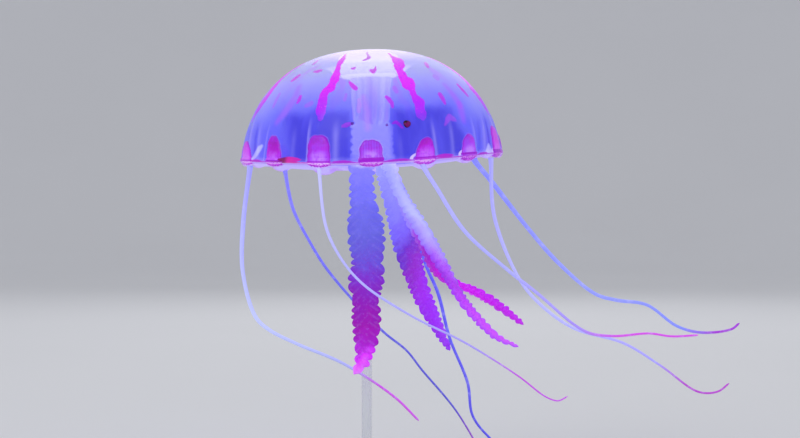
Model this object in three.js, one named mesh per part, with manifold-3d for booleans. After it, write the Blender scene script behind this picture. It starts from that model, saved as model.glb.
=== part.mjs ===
// An artificial jellyfish, moulded in soft silicone, on a plain display stand.
// Millimetres, +Z up. The origin is the centre of the stand's underside, on the rod's axis.
import * as THREE from "three";
import { mergeVertices } from "three/addons/utils/BufferGeometryUtils.js";
import Module from "manifold-3d";

const wasm = await Module();
wasm.setup();

// Stand.
const BASE_RADIUS = 48;
const BASE_HEIGHT = 8;
const BASE_BEVEL = 1.2;
const ROD_RADIUS = 2;
const ROD_SOCKET_FLOOR = 3;
const COLLAR_RADIUS = 6;
const COLLAR_HEIGHT = 6;
const COLLAR_LIP = 1.5;

// Bell. Heights are measured up from the plane of its rim.
const RIM_LEVEL = 134.3;
const BELL_X = 2;
const BELL_Y = -1.5;
const BELL_HEIGHT = 42.4;
const DOME_RADIUS = 48.6;
const DOME_POWER = 2.4;
const RIM_FLARE = 1.3;
const RIM_SADDLE = 1.6;
const BELL_LEAN = new THREE.Euler(THREE.MathUtils.degToRad(0.8), THREE.MathUtils.degToRad(-1.9), 0);
const WALL_THICKNESS = 1.8;
const RIM_BEAD = 0.4;
const RIM_DROP = 1;
const CROWN_EDGE = 34.4;
const CROWN_UNDERSIDE = 32.8;
const CROWN_BOSS_RADIUS = 13;
const WALL_COUNT = 4;
const GAP = 0.3;

// Lappets: the tongue-shaped pads round the rim.
const LAPPET_COUNT = 16;
const LAPPET_TURN = (2 * Math.PI) / LAPPET_COUNT;
const LAPPET_HALF_WIDTH = 3.7;
const LAPPET_HALF_HEIGHT = 4.6;
const LAPPET_MIDDLE = 3.2;
const LAPPET_HANG = 0.2;
const LAPPET_BULGE = 1;
// The ones that stand off their even places, by number: their shift along the rim, their half
// width, and how far their lower end hangs.
const LAPPET_SHAPES = new Map([
  [3, { shift: 2.6, halfWidth: 4.4 }],
  [4, { shift: 4.5 }],
  [6, { shift: -2.4, halfWidth: 4.4, hang: 0.8 }],
  [7, { shift: -2.4, halfWidth: 4.4, hang: 1.2 }],
  [9, { shift: 2, halfWidth: 4.4, hang: 1.4 }],
  [10, { shift: 4, halfWidth: 4.4, hang: 1 }],
  [12, { shift: -4.5 }],
  [13, { shift: -0.6, halfWidth: 4.8 }],
]);

// Hub: the column under the crown that carries the arms and takes the rod.
const HUB_X = -0.3;
const HUB_RADIUS = 7.3;
const HUB_BOTTOM = 12;
const HUB_TOP = 32.3;
const HUB_SOCKET_DEPTH = 8;

// Oral arms and tentacles.
const SCALLOP_PITCH = 3.9;
const ARM_EDGE = 0.8;
const ARM_THICKNESS = 2.8;
const TENTACLE_ROOT_RADIUS = 0.95;
const TENTACLE_TIP_RADIUS = 0.42;
const TENTACLE_STEP = 7;
const ROOT_FLARE = 0.6;
const ROOT_DROP = 1.5;

const COLOURS = {
  crown: 0xd8d6ff,
  bell: 0x8a86f4,
  lappet: 0xb432dc,
  arm: 0x8a86f0,
  armTip: 0xd03ce0,
  tentacle: 0xa5a8f5,
  tentacleTip: 0xd046e0,
  stand: 0x20222a,
};

// A closed solid from a run of matching outlines, each turning anticlockwise about the way the
// run goes, with both ends capped. `flatOutline` is the same outline in two dimensions.
function loft(outlines, flatOutline) {
  const sides = outlines[0].length;
  const faces = [];
  for (let row = 0; row < outlines.length - 1; row += 1) {
    for (let side = 0; side < sides; side += 1) {
      const near = row * sides + side;
      const next = row * sides + ((side + 1) % sides);
      faces.push(near, next, next + sides, near, next + sides, near + sides);
    }
  }
  const lastRow = (outlines.length - 1) * sides;
  const contour = flatOutline.map(([x, y]) => new THREE.Vector2(x, y));
  for (const [a, b, c] of THREE.ShapeUtils.triangulateShape(contour, [])) {
    faces.push(c, b, a, lastRow + a, lastRow + b, lastRow + c);
  }
  const geometry = new THREE.BufferGeometry();
  const positions = outlines.flat().flatMap((point) => point.toArray());
  geometry.setAttribute("position", new THREE.Float32BufferAttribute(positions, 3));
  geometry.setIndex(faces);
  return geometry;
}

// A solid for manifold-3d from a closed geometry.
function solid(geometry) {
  const bare = geometry.clone();
  bare.deleteAttribute("normal");
  bare.deleteAttribute("uv");
  const merged = mergeVertices(bare);
  const mesh = new wasm.Mesh({
    numProp: 3,
    vertProperties: new Float32Array(merged.attributes.position.array),
    triVerts: new Uint32Array(merged.index.array),
  });
  return new wasm.Manifold(mesh);
}

// The geometry of `geometry` with each of `cutters` taken out of it.
function cut(geometry, cutters) {
  const left = cutters.reduce((rest, cutter) => rest.subtract(solid(cutter)), solid(geometry));
  const mesh = left.getMesh();
  const result = new THREE.BufferGeometry();
  result.setAttribute("position", new THREE.Float32BufferAttribute(mesh.vertProperties, 3));
  result.setIndex(Array.from(mesh.triVerts));
  return result;
}

// A solid of revolution about Z from a profile of [radius, height] points, lowest first.
function turned(profile, sides) {
  const points = profile.map(([radius, height]) => new THREE.Vector2(radius, height));
  return new THREE.LatheGeometry(points, sides).rotateX(Math.PI / 2);
}

function material(color, roughness) {
  return new THREE.MeshStandardMaterial({ color, roughness, metalness: 0 });
}

function addPart(parent, name, geometry, color, roughness = 0.35) {
  geometry.computeVertexNormals();
  const mesh = new THREE.Mesh(geometry, material(color, roughness));
  mesh.name = name;
  parent.add(mesh);
}

// The bell's outer radius at a height over the rim: a flat-topped dome that flares at the rim.
function bellRadius(height) {
  const rise = THREE.MathUtils.clamp(height / BELL_HEIGHT, 0, 1);
  return DOME_RADIUS * (1 - rise ** 2) ** (1 / DOME_POWER) + RIM_FLARE * (1 - rise) ** 4;
}

const BELL_RIM_RADIUS = bellRadius(0);

// A point of the bell's section, `depth` in from its outer face, as [radius, height].
function sectionPoint(height, depth) {
  const step = 0.01;
  const slope = (bellRadius(height + step) - bellRadius(height - step)) / (2 * step);
  const normal = new THREE.Vector2(1, -slope).normalize();
  return [bellRadius(height) - depth * normal.x, height - depth * normal.y];
}

// Places a section point at an angle round the bell, from the front (-Y) towards +X, where the
// soft rim sags at front and back and rises at both sides.
function placeRound(radius, height, angle) {
  const looseness = (1 - THREE.MathUtils.clamp(height / BELL_HEIGHT, 0, 1)) ** 2;
  const sag = RIM_SADDLE * looseness * Math.cos(2 * angle);
  return new THREE.Vector3(radius * Math.sin(angle), -radius * Math.cos(angle), height - sag);
}

function bellPoint(height, depth, angle) {
  return placeRound(...sectionPoint(height, depth), angle);
}

// Crown: the thick cap over the hub, from its edge up to the pole and back under the boss.
function crownGeometry() {
  const rings = [[bellRadius(BELL_HEIGHT * 0.995), BELL_HEIGHT * 0.995]];
  for (const height of [41.2, 38.8, CROWN_EDGE + GAP]) rings.push(sectionPoint(height, 0));
  rings.push(sectionPoint(CROWN_EDGE + GAP, WALL_THICKNESS));
  rings.push([CROWN_BOSS_RADIUS + 3, CROWN_UNDERSIDE + 3.6]);
  rings.push([CROWN_BOSS_RADIUS, CROWN_UNDERSIDE]);
  return turned([[0, BELL_HEIGHT], ...rings, [0, CROWN_UNDERSIDE]].reverse(), 24);
}

// One wall of the bell, between two angles, before its lappets are cut out.
function wallGeometry(from, to) {
  const outer = [[-RIM_DROP, RIM_BEAD], [0, -RIM_BEAD], [1.6, 0]];
  for (const height of [9, 17, 24, 30, CROWN_EDGE]) outer.push([height, 0]);
  const inner = [[CROWN_EDGE, WALL_THICKNESS], [27, WALL_THICKNESS], [15, WALL_THICKNESS]];
  inner.push([2, WALL_THICKNESS], [-RIM_DROP, WALL_THICKNESS]);
  const section = [...outer, ...inner].map(([height, depth]) => sectionPoint(height, depth));
  const steps = 8;
  const outlines = [];
  for (let step = 0; step <= steps; step += 1) {
    const angle = to + ((from - to) * step) / steps;
    outlines.push(section.map(([radius, height]) => placeRound(radius, height, angle)));
  }
  return loft(outlines, section);
}

function lappetShape(lappet) {
  const plain = { shift: 0, halfWidth: LAPPET_HALF_WIDTH, hang: LAPPET_HANG };
  return { ...plain, ...LAPPET_SHAPES.get(lappet) };
}

// A lappet's outline, [along the rim, up from it]: a tongue, square at the rim and round on top.
function lappetOutline(shape, grow, scale) {
  const corners = 10;
  const outline = [];
  for (let corner = 0; corner < corners; corner += 1) {
    const turn = (2 * Math.PI * (corner + 0.5)) / corners;
    const power = turn < Math.PI ? 0.75 : 0.45;
    const across = Math.sign(Math.cos(turn)) * Math.abs(Math.cos(turn)) ** 0.6;
    const up = Math.sign(Math.sin(turn)) * Math.abs(Math.sin(turn)) ** power;
    const reach = LAPPET_HALF_HEIGHT + (up < 0 ? shape.hang : 0);
    outline.push([
      shape.shift + across * (shape.halfWidth * scale + grow),
      LAPPET_MIDDLE + up * (reach * scale + grow),
    ]);
  }
  return outline;
}

// A lappet through the wall, from layers of [depth, grow, scale].
function lappetGeometry(lappet, layers) {
  const shape = lappetShape(lappet);
  const angle = lappet * LAPPET_TURN;
  const outlines = layers.map(([depth, grow, scale]) =>
    lappetOutline(shape, grow, scale).map(([along, up]) =>
      bellPoint(up, depth, angle + along / BELL_RIM_RADIUS),
    ),
  );
  return loft(outlines, lappetOutline(shape, 0, 1));
}

const LAPPET_LAYERS = [
  [WALL_THICKNESS, 0, 1],
  [-RIM_BEAD, 0, 1],
  [-LAPPET_BULGE, 0, 0.7],
];
const NOTCH_LAYERS = [
  [WALL_THICKNESS * 2, GAP, 1],
  [-LAPPET_BULGE * 2, GAP, 1],
];

function buildBell() {
  const bell = new THREE.Group();
  bell.rotation.copy(BELL_LEAN);
  addPart(bell, "bell_crown", crownGeometry(), COLOURS.crown);

  const lappetsPerWall = LAPPET_COUNT / WALL_COUNT;
  const halfGap = GAP / 2 / BELL_RIM_RADIUS;
  for (let wall = 0; wall < WALL_COUNT; wall += 1) {
    const first = wall * lappetsPerWall - 2;
    const from = (first - 0.5) * LAPPET_TURN + halfGap;
    const to = (first + lappetsPerWall - 0.5) * LAPPET_TURN - halfGap;
    const notches = [];
    for (let lappet = first; lappet < first + lappetsPerWall; lappet += 1) {
      notches.push(lappetGeometry((lappet + LAPPET_COUNT) % LAPPET_COUNT, NOTCH_LAYERS));
    }
    addPart(bell, `bell_wall_${wall + 1}`, cut(wallGeometry(from, to), notches), COLOURS.bell);
  }
  for (let lappet = 0; lappet < LAPPET_COUNT; lappet += 1) {
    const name = `lappet_${String(lappet + 1).padStart(2, "0")}`;
    addPart(bell, name, lappetGeometry(lappet, LAPPET_LAYERS), COLOURS.lappet);
  }
  return bell;
}

// The hub, with a blind socket for the rod in its flat underside.
function hubGeometry() {
  const profile = [
    [0, HUB_BOTTOM],
    [HUB_RADIUS - 0.4, HUB_BOTTOM],
    [HUB_RADIUS, HUB_BOTTOM + 1],
    [HUB_RADIUS - 0.3, 22],
    [HUB_RADIUS + 0.2, 29],
    [HUB_RADIUS + 1.2, HUB_TOP],
    [0, HUB_TOP],
  ];
  const column = turned(profile, 18).translate(HUB_X, 0, 0);
  const socketRadius = ROD_RADIUS + GAP;
  const socket = new THREE.CylinderGeometry(socketRadius, socketRadius, 2 * HUB_SOCKET_DEPTH, 12);
  socket.rotateX(Math.PI / 2).translate(-BELL_X, -BELL_Y, HUB_BOTTOM);
  return cut(column, [socket]);
}

// Sweeps a section along a path. `section(distance)` gives an outline of [across, out] pairs and
// `acrossAt(distance)` the direction that the section's width turns to.
function sweep(path, from, to, steps, section, acrossAt) {
  const length = path.getLength();
  const outlines = [];
  for (let step = 0; step <= steps; step += 1) {
    const distance = from + ((to - from) * step) / steps;
    const centre = path.getPointAt(distance / length);
    const forward = path.getTangentAt(distance / length);
    const wanted = acrossAt(distance);
    const across = wanted.clone().addScaledVector(forward, -wanted.dot(forward)).normalize();
    const out = forward.clone().cross(across);
    outlines.push(
      section(distance).map(([width, height]) =>
        centre.clone().addScaledVector(across, width).addScaledVector(out, height),
      ),
    );
  }
  return loft(outlines, section(from));
}

// A smooth value along a list of evenly spaced ones, for `along` from 0 to 1.
function between(values, along) {
  const place = THREE.MathUtils.clamp(along, 0, 1) * (values.length - 1);
  const index = Math.min(Math.floor(place), values.length - 2);
  return THREE.MathUtils.lerp(values[index], values[index + 1], place - index);
}

function pathThrough(points) {
  const stops = points.map((point) => new THREE.Vector3(...point));
  const path = new THREE.CatmullRomCurve3(stops, false, "centripetal");
  path.arcLengthDivisions = 600;
  return path;
}

// Oral arms, in the bell's place: x to the right, y away, z over the rim's plane. `halfWidths`
// are evenly spaced from hub to tip, and `facing` is the turn of the flat side, in degrees.
const ARMS = [
  {
    name: "arm_front",
    scallop: 1.1,
    facing: [0, -20],
    halfWidths: [3.6, 4.6, 4.7, 4.5, 5.0, 6.9, 6.9, 5.8, 7.0, 5.0, 5.6, 4.8, 3.3, 1.2],
    route: [
      [-2.1, -4.6, 11.7], [-2.6, -4.7, 7], [-3.8, -6.5, -6.5], [-2.1, -8, -27], [-1.5, -9, -39],
      [-2.2, -10, -49], [-1.9, -11.5, -66], [-3.5, -12.5, -76], [-6.5, -13, -80.5],
    ],
  },
  {
    name: "arm_back",
    scallop: 0.9,
    facing: [15, 30],
    halfWidths: [2.0, 3.0, 3.8, 4.5, 5.2, 5.7, 5.4, 4.5, 4.1, 3.6, 2.6, 1.1],
    route: [
      [1.2, 4.9, 11.7], [1.4, 5.3, 8], [4.2, 10.5, -1], [10, 17, -18.5], [14.4, 22.5, -36.5],
      [19, 26, -51], [25.5, 29, -65], [31, 30, -75.5],
    ],
  },
  {
    name: "arm_right",
    scallop: 0.8,
    facing: [35, 25],
    halfWidths: [2.4, 3.0, 3.0, 3.0, 3.4, 3.6, 3.1, 2.4, 2.2, 2.1, 1.7, 0.8],
    route: [
      [4.3, -2.4, 11.7], [4.6, -2.6, 8], [9.6, -4.5, -9.5], [18.4, -6.5, -25], [27, -7.5, -40],
      [34.5, -8.5, -53], [43, -9, -63], [48.5, -9.2, -67.5], [55.5, -9.5, -70.5],
    ],
  },
  {
    name: "arm_left",
    scallop: 0.8,
    facing: [-35, -20],
    halfWidths: [2.0, 2.4, 2.6, 2.8, 2.9, 2.9, 3.0, 2.9, 2.8, 2.5, 2.0, 0.9],
    route: [
      [4.2, 2.2, 11.7], [4.4, 2.3, 8], [6.2, 3.6, -2.5], [10.2, 4.4, -11], [15.4, 5.2, -23],
      [21.6, 6, -34.5], [25, 6.4, -41.5], [31, 6.9, -46.8], [39, 7.5, -50], [47, 8, -54.5],
      [59, 9, -63.5],
    ],
  },
];

// The section of an arm at a distance: a flat lens whose width swells and shrinks in scallops.
function armSection(arm, length, distance) {
  const lobe = Math.abs(Math.sin((Math.PI * distance) / SCALLOP_PITCH)) - 0.6;
  const width = Math.max(between(arm.halfWidths, distance / length) + arm.scallop * lobe, 0.6);
  const thickness = Math.min(ARM_THICKNESS, 1.2 * width) / 2;
  const edge = Math.min(ARM_EDGE, thickness) / 2;
  return [[width, -edge], [width, edge], [0, thickness], [-width, edge], [-width, -edge], [0, -thickness]];
}

function buildArm(parent, arm) {
  const path = pathThrough(arm.route);
  const length = path.getLength();
  const acrossAt = (distance) => {
    const turn = THREE.MathUtils.degToRad(between(arm.facing, distance / length));
    return new THREE.Vector3(Math.cos(turn), Math.sin(turn), 0);
  };
  const middle = SCALLOP_PITCH * Math.round(length / 2 / SCALLOP_PITCH);
  const pieces = [["upper", 0, middle - GAP / 2], ["lower", middle + GAP / 2, length]];
  for (const [label, from, to] of pieces) {
    const steps = Math.round((3 * (to - from)) / SCALLOP_PITCH);
    const section = (distance) => armSection(arm, length, distance);
    const colour = label === "upper" ? COLOURS.arm : COLOURS.armTip;
    addPart(parent, `${arm.name}_${label}`, sweep(path, from, to, steps, section, acrossAt), colour);
  }
}

// Tentacles. `angle` is where each leaves the rim, from the front towards +X, and `drop` is how
// far below the rim's plane it starts. The route is what follows, in the bell's place.
const TENTACLES = [
  {
    name: "tentacle_left",
    angle: -66,
    drop: 2.2,
    girth: 1,
    route: [
      [-47.5, -17, -23], [-48, -14.5, -42], [-43.5, -12, -59], [-38.5, -11, -64], [-28, -9.5, -69.5],
      [-11, -7, -77], [8.5, -4, -90], [18, -2, -99.5],
    ],
  },
  {
    name: "tentacle_back_left",
    angle: -132.5,
    drop: 3,
    girth: 0.8,
    route: [
      [-33, 35.5, -18], [-26.5, 35.5, -31], [-18.5, 34.5, -43.5], [3.5, 30.5, -67.5],
      [13.5, 28.5, -75.5], [19.5, 27.5, -83], [33, 26.5, -99], [44.5, 27, -118],
    ],
  },
  {
    name: "tentacle_front_left",
    angle: -22.5,
    drop: 2.2,
    girth: 0.64,
    route: [
      [-15.5, -41.5, -25], [-10.5, -39.5, -36], [-2.5, -38.5, -45.5], [15, -38.5, -57], [34, -38, -66.5],
      [53, -36, -78.5], [63.5, -33.5, -86.5], [68, -32.5, -88], [71.5, -31.5, -86.5],
    ],
  },
  {
    name: "tentacle_front_right",
    angle: 22.5,
    drop: 2.2,
    girth: 0.88,
    route: [
      [23.8, -46, -11.5], [33.5, -46.5, -26.5], [48.5, -43.5, -40], [60, -40.5, -49],
      [73, -37, -60], [79, -36, -63.3], [88, -35, -64.4], [100.5, -34.5, -63.5],
      [108.5, -35, -64.5], [118, -35.5, -64],
    ],
  },
  {
    name: "tentacle_right",
    angle: 65,
    drop: 2.2,
    girth: 0.85,
    route: [
      [46, -16.5, -21.5], [55, -15, -44], [62.5, -15.5, -53.5], [75.5, -16, -63], [94, -17, -68.5],
      [108, -16, -77], [122.5, -14, -87], [130, -13, -87], [134.5, -12, -84],
    ],
  },
  {
    name: "tentacle_back_right",
    angle: 124,
    drop: 1.5,
    girth: 1.15,
    route: [
      [47.2, 26.5, -6.6], [62.5, 24, -26.5], [75, 25, -40.5], [89.5, 26.5, -52.5],
      [98, 27.5, -55], [110.5, 28, -57],
      [122.5, 27.5, -65.5], [132, 26.5, -68], [144, 25, -66.5], [147, 24.5, -64],
    ],
  },
  {
    name: "tentacle_back",
    angle: 171,
    drop: 1.5,
    girth: 1,
    route: [
      [14, 36, -20.5], [17.5, 31, -29], [21.5, 26, -41.5], [26, 22.5, -52], [30.5, 18.5, -69.5],
      [37.5, 16, -87], [39.5, 15.5, -100], [46.5, 15, -109], [61.5, 15, -121],
    ],
  },
];
const TENTACLE_LENGTHS = ["upper", "middle", "tip"];

// A tentacle's section at a distance: a six-sided round that tapers and flares at the root.
function tentacleSection(tentacle, length, distance) {
  const taper = THREE.MathUtils.lerp(TENTACLE_ROOT_RADIUS, TENTACLE_TIP_RADIUS, distance / length);
  const radius = taper * tentacle.girth + ROOT_FLARE * Math.exp(-distance / 2);
  const sides = 6;
  const outline = [];
  for (let side = 0; side < sides; side += 1) {
    const turn = (2 * Math.PI * side) / sides;
    outline.push([radius * Math.cos(turn), radius * Math.sin(turn)]);
  }
  return outline;
}

function buildTentacle(parent, tentacle) {
  const angle = THREE.MathUtils.degToRad(tentacle.angle);
  const root = placeRound(BELL_RIM_RADIUS - WALL_THICKNESS / 2, -tentacle.drop, angle).applyEuler(BELL_LEAN);
  const below = root.clone().add(new THREE.Vector3(0, 0, -ROOT_DROP));
  const path = pathThrough([root.toArray(), below.toArray(), ...tentacle.route]);
  const length = path.getLength();
  const share = length / TENTACLE_LENGTHS.length;
  const acrossAt = () => new THREE.Vector3(0, 1, 0);
  TENTACLE_LENGTHS.forEach((label, index) => {
    const from = index === 0 ? 0 : index * share + GAP / 2;
    const to = index === 2 ? length : (index + 1) * share - GAP / 2;
    const steps = Math.round((to - from) / TENTACLE_STEP);
    const section = (distance) => tentacleSection(tentacle, length, distance);
    const colour = label === "tip" ? COLOURS.tentacleTip : COLOURS.tentacle;
    addPart(parent, `${tentacle.name}_${label}`, sweep(path, from, to, steps, section, acrossAt), colour);
  });
}

function buildJellyfish() {
  const jellyfish = new THREE.Group();
  jellyfish.position.set(BELL_X, BELL_Y, RIM_LEVEL);
  jellyfish.add(buildBell());
  addPart(jellyfish, "hub", hubGeometry(), COLOURS.crown);
  for (const arm of ARMS) buildArm(jellyfish, arm);
  for (const tentacle of TENTACLES) buildTentacle(jellyfish, tentacle);
  return jellyfish;
}

function buildStand() {
  const stand = new THREE.Group();
  const socketRadius = ROD_RADIUS + GAP;
  const base = [
    [0, 0],
    [BASE_RADIUS, 0],
    [BASE_RADIUS, BASE_HEIGHT - BASE_BEVEL],
    [BASE_RADIUS - BASE_BEVEL, BASE_HEIGHT],
    [socketRadius, BASE_HEIGHT],
    [socketRadius, ROD_SOCKET_FLOOR],
    [0, ROD_SOCKET_FLOOR],
  ];
  addPart(stand, "stand_base", turned(base, 32), COLOURS.stand, 0.1);

  const collarFoot = BASE_HEIGHT + GAP;
  const collar = [
    [socketRadius, collarFoot],
    [COLLAR_RADIUS, collarFoot],
    [COLLAR_RADIUS, collarFoot + COLLAR_LIP],
    [socketRadius + 1.7, collarFoot + COLLAR_HEIGHT],
    [socketRadius, collarFoot + COLLAR_HEIGHT],
    [socketRadius, collarFoot],
  ];
  addPart(stand, "stand_collar", turned(collar, 16), COLOURS.stand, 0.1);

  const rodFoot = ROD_SOCKET_FLOOR + GAP;
  const rodTop = RIM_LEVEL + HUB_BOTTOM + HUB_SOCKET_DEPTH - GAP;
  const rod = new THREE.CylinderGeometry(ROD_RADIUS, ROD_RADIUS, rodTop - rodFoot, 12);
  rod.rotateX(Math.PI / 2).translate(0, 0, (rodTop + rodFoot) / 2);
  addPart(stand, "stand_rod", rod, COLOURS.stand, 0.1);
  return stand;
}

const group = new THREE.Group();
group.add(buildJellyfish(), buildStand());

export default group;
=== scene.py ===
import math

import bpy
import numpy as np
from mathutils import Matrix, Vector


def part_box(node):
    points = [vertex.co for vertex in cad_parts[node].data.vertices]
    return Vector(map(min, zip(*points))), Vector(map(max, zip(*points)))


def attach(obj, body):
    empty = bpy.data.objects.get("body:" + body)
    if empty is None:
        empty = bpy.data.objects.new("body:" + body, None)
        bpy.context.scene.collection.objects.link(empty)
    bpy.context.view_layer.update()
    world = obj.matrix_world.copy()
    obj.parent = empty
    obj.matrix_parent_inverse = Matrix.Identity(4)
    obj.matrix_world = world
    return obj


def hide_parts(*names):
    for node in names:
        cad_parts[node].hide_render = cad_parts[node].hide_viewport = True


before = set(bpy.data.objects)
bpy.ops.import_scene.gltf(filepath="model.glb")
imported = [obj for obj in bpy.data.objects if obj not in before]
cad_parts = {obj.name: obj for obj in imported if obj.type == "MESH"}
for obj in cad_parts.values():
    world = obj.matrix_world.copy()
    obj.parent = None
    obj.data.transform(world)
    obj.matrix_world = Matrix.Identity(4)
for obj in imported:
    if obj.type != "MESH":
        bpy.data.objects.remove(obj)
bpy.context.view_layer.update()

# Lengths are in millimetres until a mesh is made. Angles round the bell run from its front (-Y)
# towards +X, in degrees, and heights on it are measured up from the plane of its rim.
MM = 0.001

# The bell's section, as the solids have it.
BELL_HEIGHT = 42.4
DOME_RADIUS = 48.6
DOME_POWER = 2.4
RIM_FLARE = 1.3
RIM_SADDLE = 1.6
BELL_LEAN_X = math.radians(0.8)
BELL_LEAN_Y = math.radians(-1.9)
WALL_THICKNESS = 1.8
RIM_BEAD = 0.4
RIM_DROP = 1.2
RIM_LIFT = 0.85
CROWN_EDGE = 34.4
CROWN_UNDERSIDE = 32.8
CROWN_BOSS_RADIUS = 13.0
POLE_SINK = 0.1
RIM_RADIUS = DOME_RADIUS + RIM_FLARE

# Hub and stand.
HUB_X = -0.3
HUB_RADIUS = 7.3
HUB_BOTTOM = 12.0
HUB_TOP = 32.3
HUB_FLUTES = 14
HUB_TAPER = 2.4
# Where the column has its painted highlight strip, and its darker purple band.
HUB_HIGHLIGHT_STRIP = math.radians(-48) % (2 * math.pi)
HUB_DUSK = math.radians(-92) % (2 * math.pi)
ROD_RADIUS = 2.0
GAP = 0.3

# Strokes: how far outside any stroke a point counts as, in mm, and how much depth counts at the front.
FAR_OUTSIDE = -20.0
SEEN_DEPTH = 0.25

# Lappets.
LAPPET_COUNT = 16
LAPPET_TURN = 360.0 / LAPPET_COUNT
LAPPET_BULGE = 0.6
FOOT_HEIGHT = 0.6
LINE_HEIGHT = -0.15
LENS_TOP = -0.1
RIDGE_PITCH = 0.95

TENTACLE_ROOT_RADIUS = 0.95
TENTACLE_TIP_RADIUS = 0.42
ROOT_FLARE = 0.3
ROOT_DROP = 1.5

def solid_box(name):
    """The low and high corners of a solid, in mm."""
    return (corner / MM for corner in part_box(name))


hub_low, hub_high = solid_box("hub")
BELL_PLACE = np.array(
    [(hub_low.x + hub_high.x) / 2 - HUB_X, (hub_low.y + hub_high.y) / 2, hub_low.z - HUB_BOTTOM]
)


# --- Meshes -------------------------------------------------------------------------------------


def new_piece(name, points, faces):
    """A smooth-shaded piece in the scene, from points in metres."""
    mesh = bpy.data.meshes.new(name)
    mesh.from_pydata(points, [], faces)
    mesh.polygons.foreach_set("use_smooth", np.ones(len(mesh.polygons), bool))
    mesh.update()
    piece = bpy.data.objects.new(name, mesh)
    bpy.context.scene.collection.objects.link(piece)
    return piece


def skin(name, rings, start, end, **fields):
    """A closed mesh from rings of points, shut by a fan to the points start and end. The fields
    are values at the rings' points, which the materials read."""
    rows, columns, _ = rings.shape
    points = np.vstack([[start], rings.reshape(-1, 3), [end]])
    index = 1 + np.arange(rows * columns).reshape(rows, columns)
    following = np.roll(index, -1, axis=1)
    quads = np.stack([index[:-1], following[:-1], following[1:], index[1:]], axis=-1).reshape(-1, 4)
    last = rows * columns + 1
    first_fan = np.stack([np.zeros(columns, int), following[0], index[0]], axis=-1)
    last_fan = np.stack([np.full(columns, last), index[-1], following[-1]], axis=-1)
    faces = np.vstack([first_fan, last_fan])
    triangles = np.vstack([quads[:, :3], quads[:, [0, 2, 3]], faces])
    a, b, c = (points[triangles[:, corner]] for corner in range(3))
    if np.einsum("ij,ij->i", a, np.cross(b, c)).sum() < 0:
        quads, faces = quads[:, ::-1], faces[:, ::-1]
    piece = new_piece(name, (points * MM).tolist(), quads.tolist() + faces.tolist())
    for field, values in fields.items():
        values = np.broadcast_to(values, (rows, columns))
        flat = np.concatenate([[values[0].mean()], values.reshape(-1), [values[-1].mean()]])
        attribute = piece.data.attributes.new(field, "FLOAT", "POINT")
        attribute.data.foreach_set("value", flat.astype(np.float32))
    return piece


def hung(name, rings, start, end, **fields):
    """A closed mesh whose points are given from the centre of the bell's rim."""
    return skin(name, rings + BELL_PLACE, start + BELL_PLACE, end + BELL_PLACE, **fields)


def dress(piece, material, nodes=()):
    """Gives a piece its material, its body and the solids that it stands for."""
    piece.data.materials.append(material)
    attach(piece, "root")
    if nodes:
        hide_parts(*nodes)
    return piece


def smoothstep(low, high, value):
    share = np.clip((value - low) / (high - low), 0, 1)
    return share * share * (3 - 2 * share)


def lerp(a, b, share):
    return a + (b - a) * share


def spread(values, share):
    """A smooth value along a list of evenly spaced ones, for shares from 0 to 1."""
    return np.interp(share, np.linspace(0, 1, len(values)), values)


def full_turn(count):
    """Angles in radians, evenly spaced once round."""
    return np.linspace(0, 2 * math.pi, count, endpoint=False)


def degrees_round(count):
    """Angles in degrees round the bell, from its back through its front."""
    return np.linspace(-180, 180, count, endpoint=False)


def folded(degrees):
    """Angles from the front or the back, whichever is nearer."""
    return (degrees + 90) % 180 - 90


# --- The bell's surface ---------------------------------------------------------------------------


def bell_radius(height):
    rise = np.clip(height / BELL_HEIGHT, 0, 1)
    return DOME_RADIUS * (1 - rise**2) ** (1 / DOME_POWER) + RIM_FLARE * (1 - rise) ** 4


# The section as a run from the rim to the pole: distance, radius, height and outward normal.
TABLE_TURN = np.linspace(0, math.pi / 2, 3000)
TABLE_HEIGHT = BELL_HEIGHT * np.sin(TABLE_TURN)
TABLE_RADIUS = bell_radius(TABLE_HEIGHT)
TABLE_RADIUS[-1] = 0
TABLE_RUN = np.concatenate([[0], np.cumsum(np.hypot(np.diff(TABLE_RADIUS), np.diff(TABLE_HEIGHT)))])
TABLE_OUT = np.gradient(TABLE_HEIGHT, TABLE_RUN)
TABLE_UP = -np.gradient(TABLE_RADIUS, TABLE_RUN)
BELL_RUN = TABLE_RUN[-1]


def run_at(height):
    return np.interp(height, TABLE_HEIGHT, TABLE_RUN)


def section(run, depth):
    """The section's radius and height at a run up from the rim and a depth in from the face."""
    radius, height, out, up = (
        np.interp(run, TABLE_RUN, table) for table in (TABLE_RADIUS, TABLE_HEIGHT, TABLE_OUT, TABLE_UP)
    )
    below = np.minimum(run, 0)
    return radius - depth * out, height + below - depth * up


def lean(points):
    """Tilts points about the centre of the rim, as the bell hangs in the photo."""
    x, y, z = np.moveaxis(points, -1, 0)
    x, z = (
        x * math.cos(BELL_LEAN_Y) + z * math.sin(BELL_LEAN_Y),
        -x * math.sin(BELL_LEAN_Y) + z * math.cos(BELL_LEAN_Y),
    )
    y, z = (
        y * math.cos(BELL_LEAN_X) - z * math.sin(BELL_LEAN_X),
        y * math.sin(BELL_LEAN_X) + z * math.cos(BELL_LEAN_X),
    )
    return np.stack([x, y, z], axis=-1)


def place_round(radius, height, degrees):
    """Places section points round the bell, with the sag of its soft rim."""
    angle = np.radians(degrees)
    looseness = (1 - np.clip(height / BELL_HEIGHT, 0, 1)) ** 2
    drop = RIM_SADDLE * looseness * np.cos(2 * angle)
    return np.stack([radius * np.sin(angle), -radius * np.cos(angle), height - drop], axis=-1)


# --- What is painted on the bell ------------------------------------------------------------------


def turned(strokes, by):
    """The same strokes, turned round the bell by so many degrees."""
    return [[(angle + by, height, half) for angle, height, half in stroke] for stroke in strokes]
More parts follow.
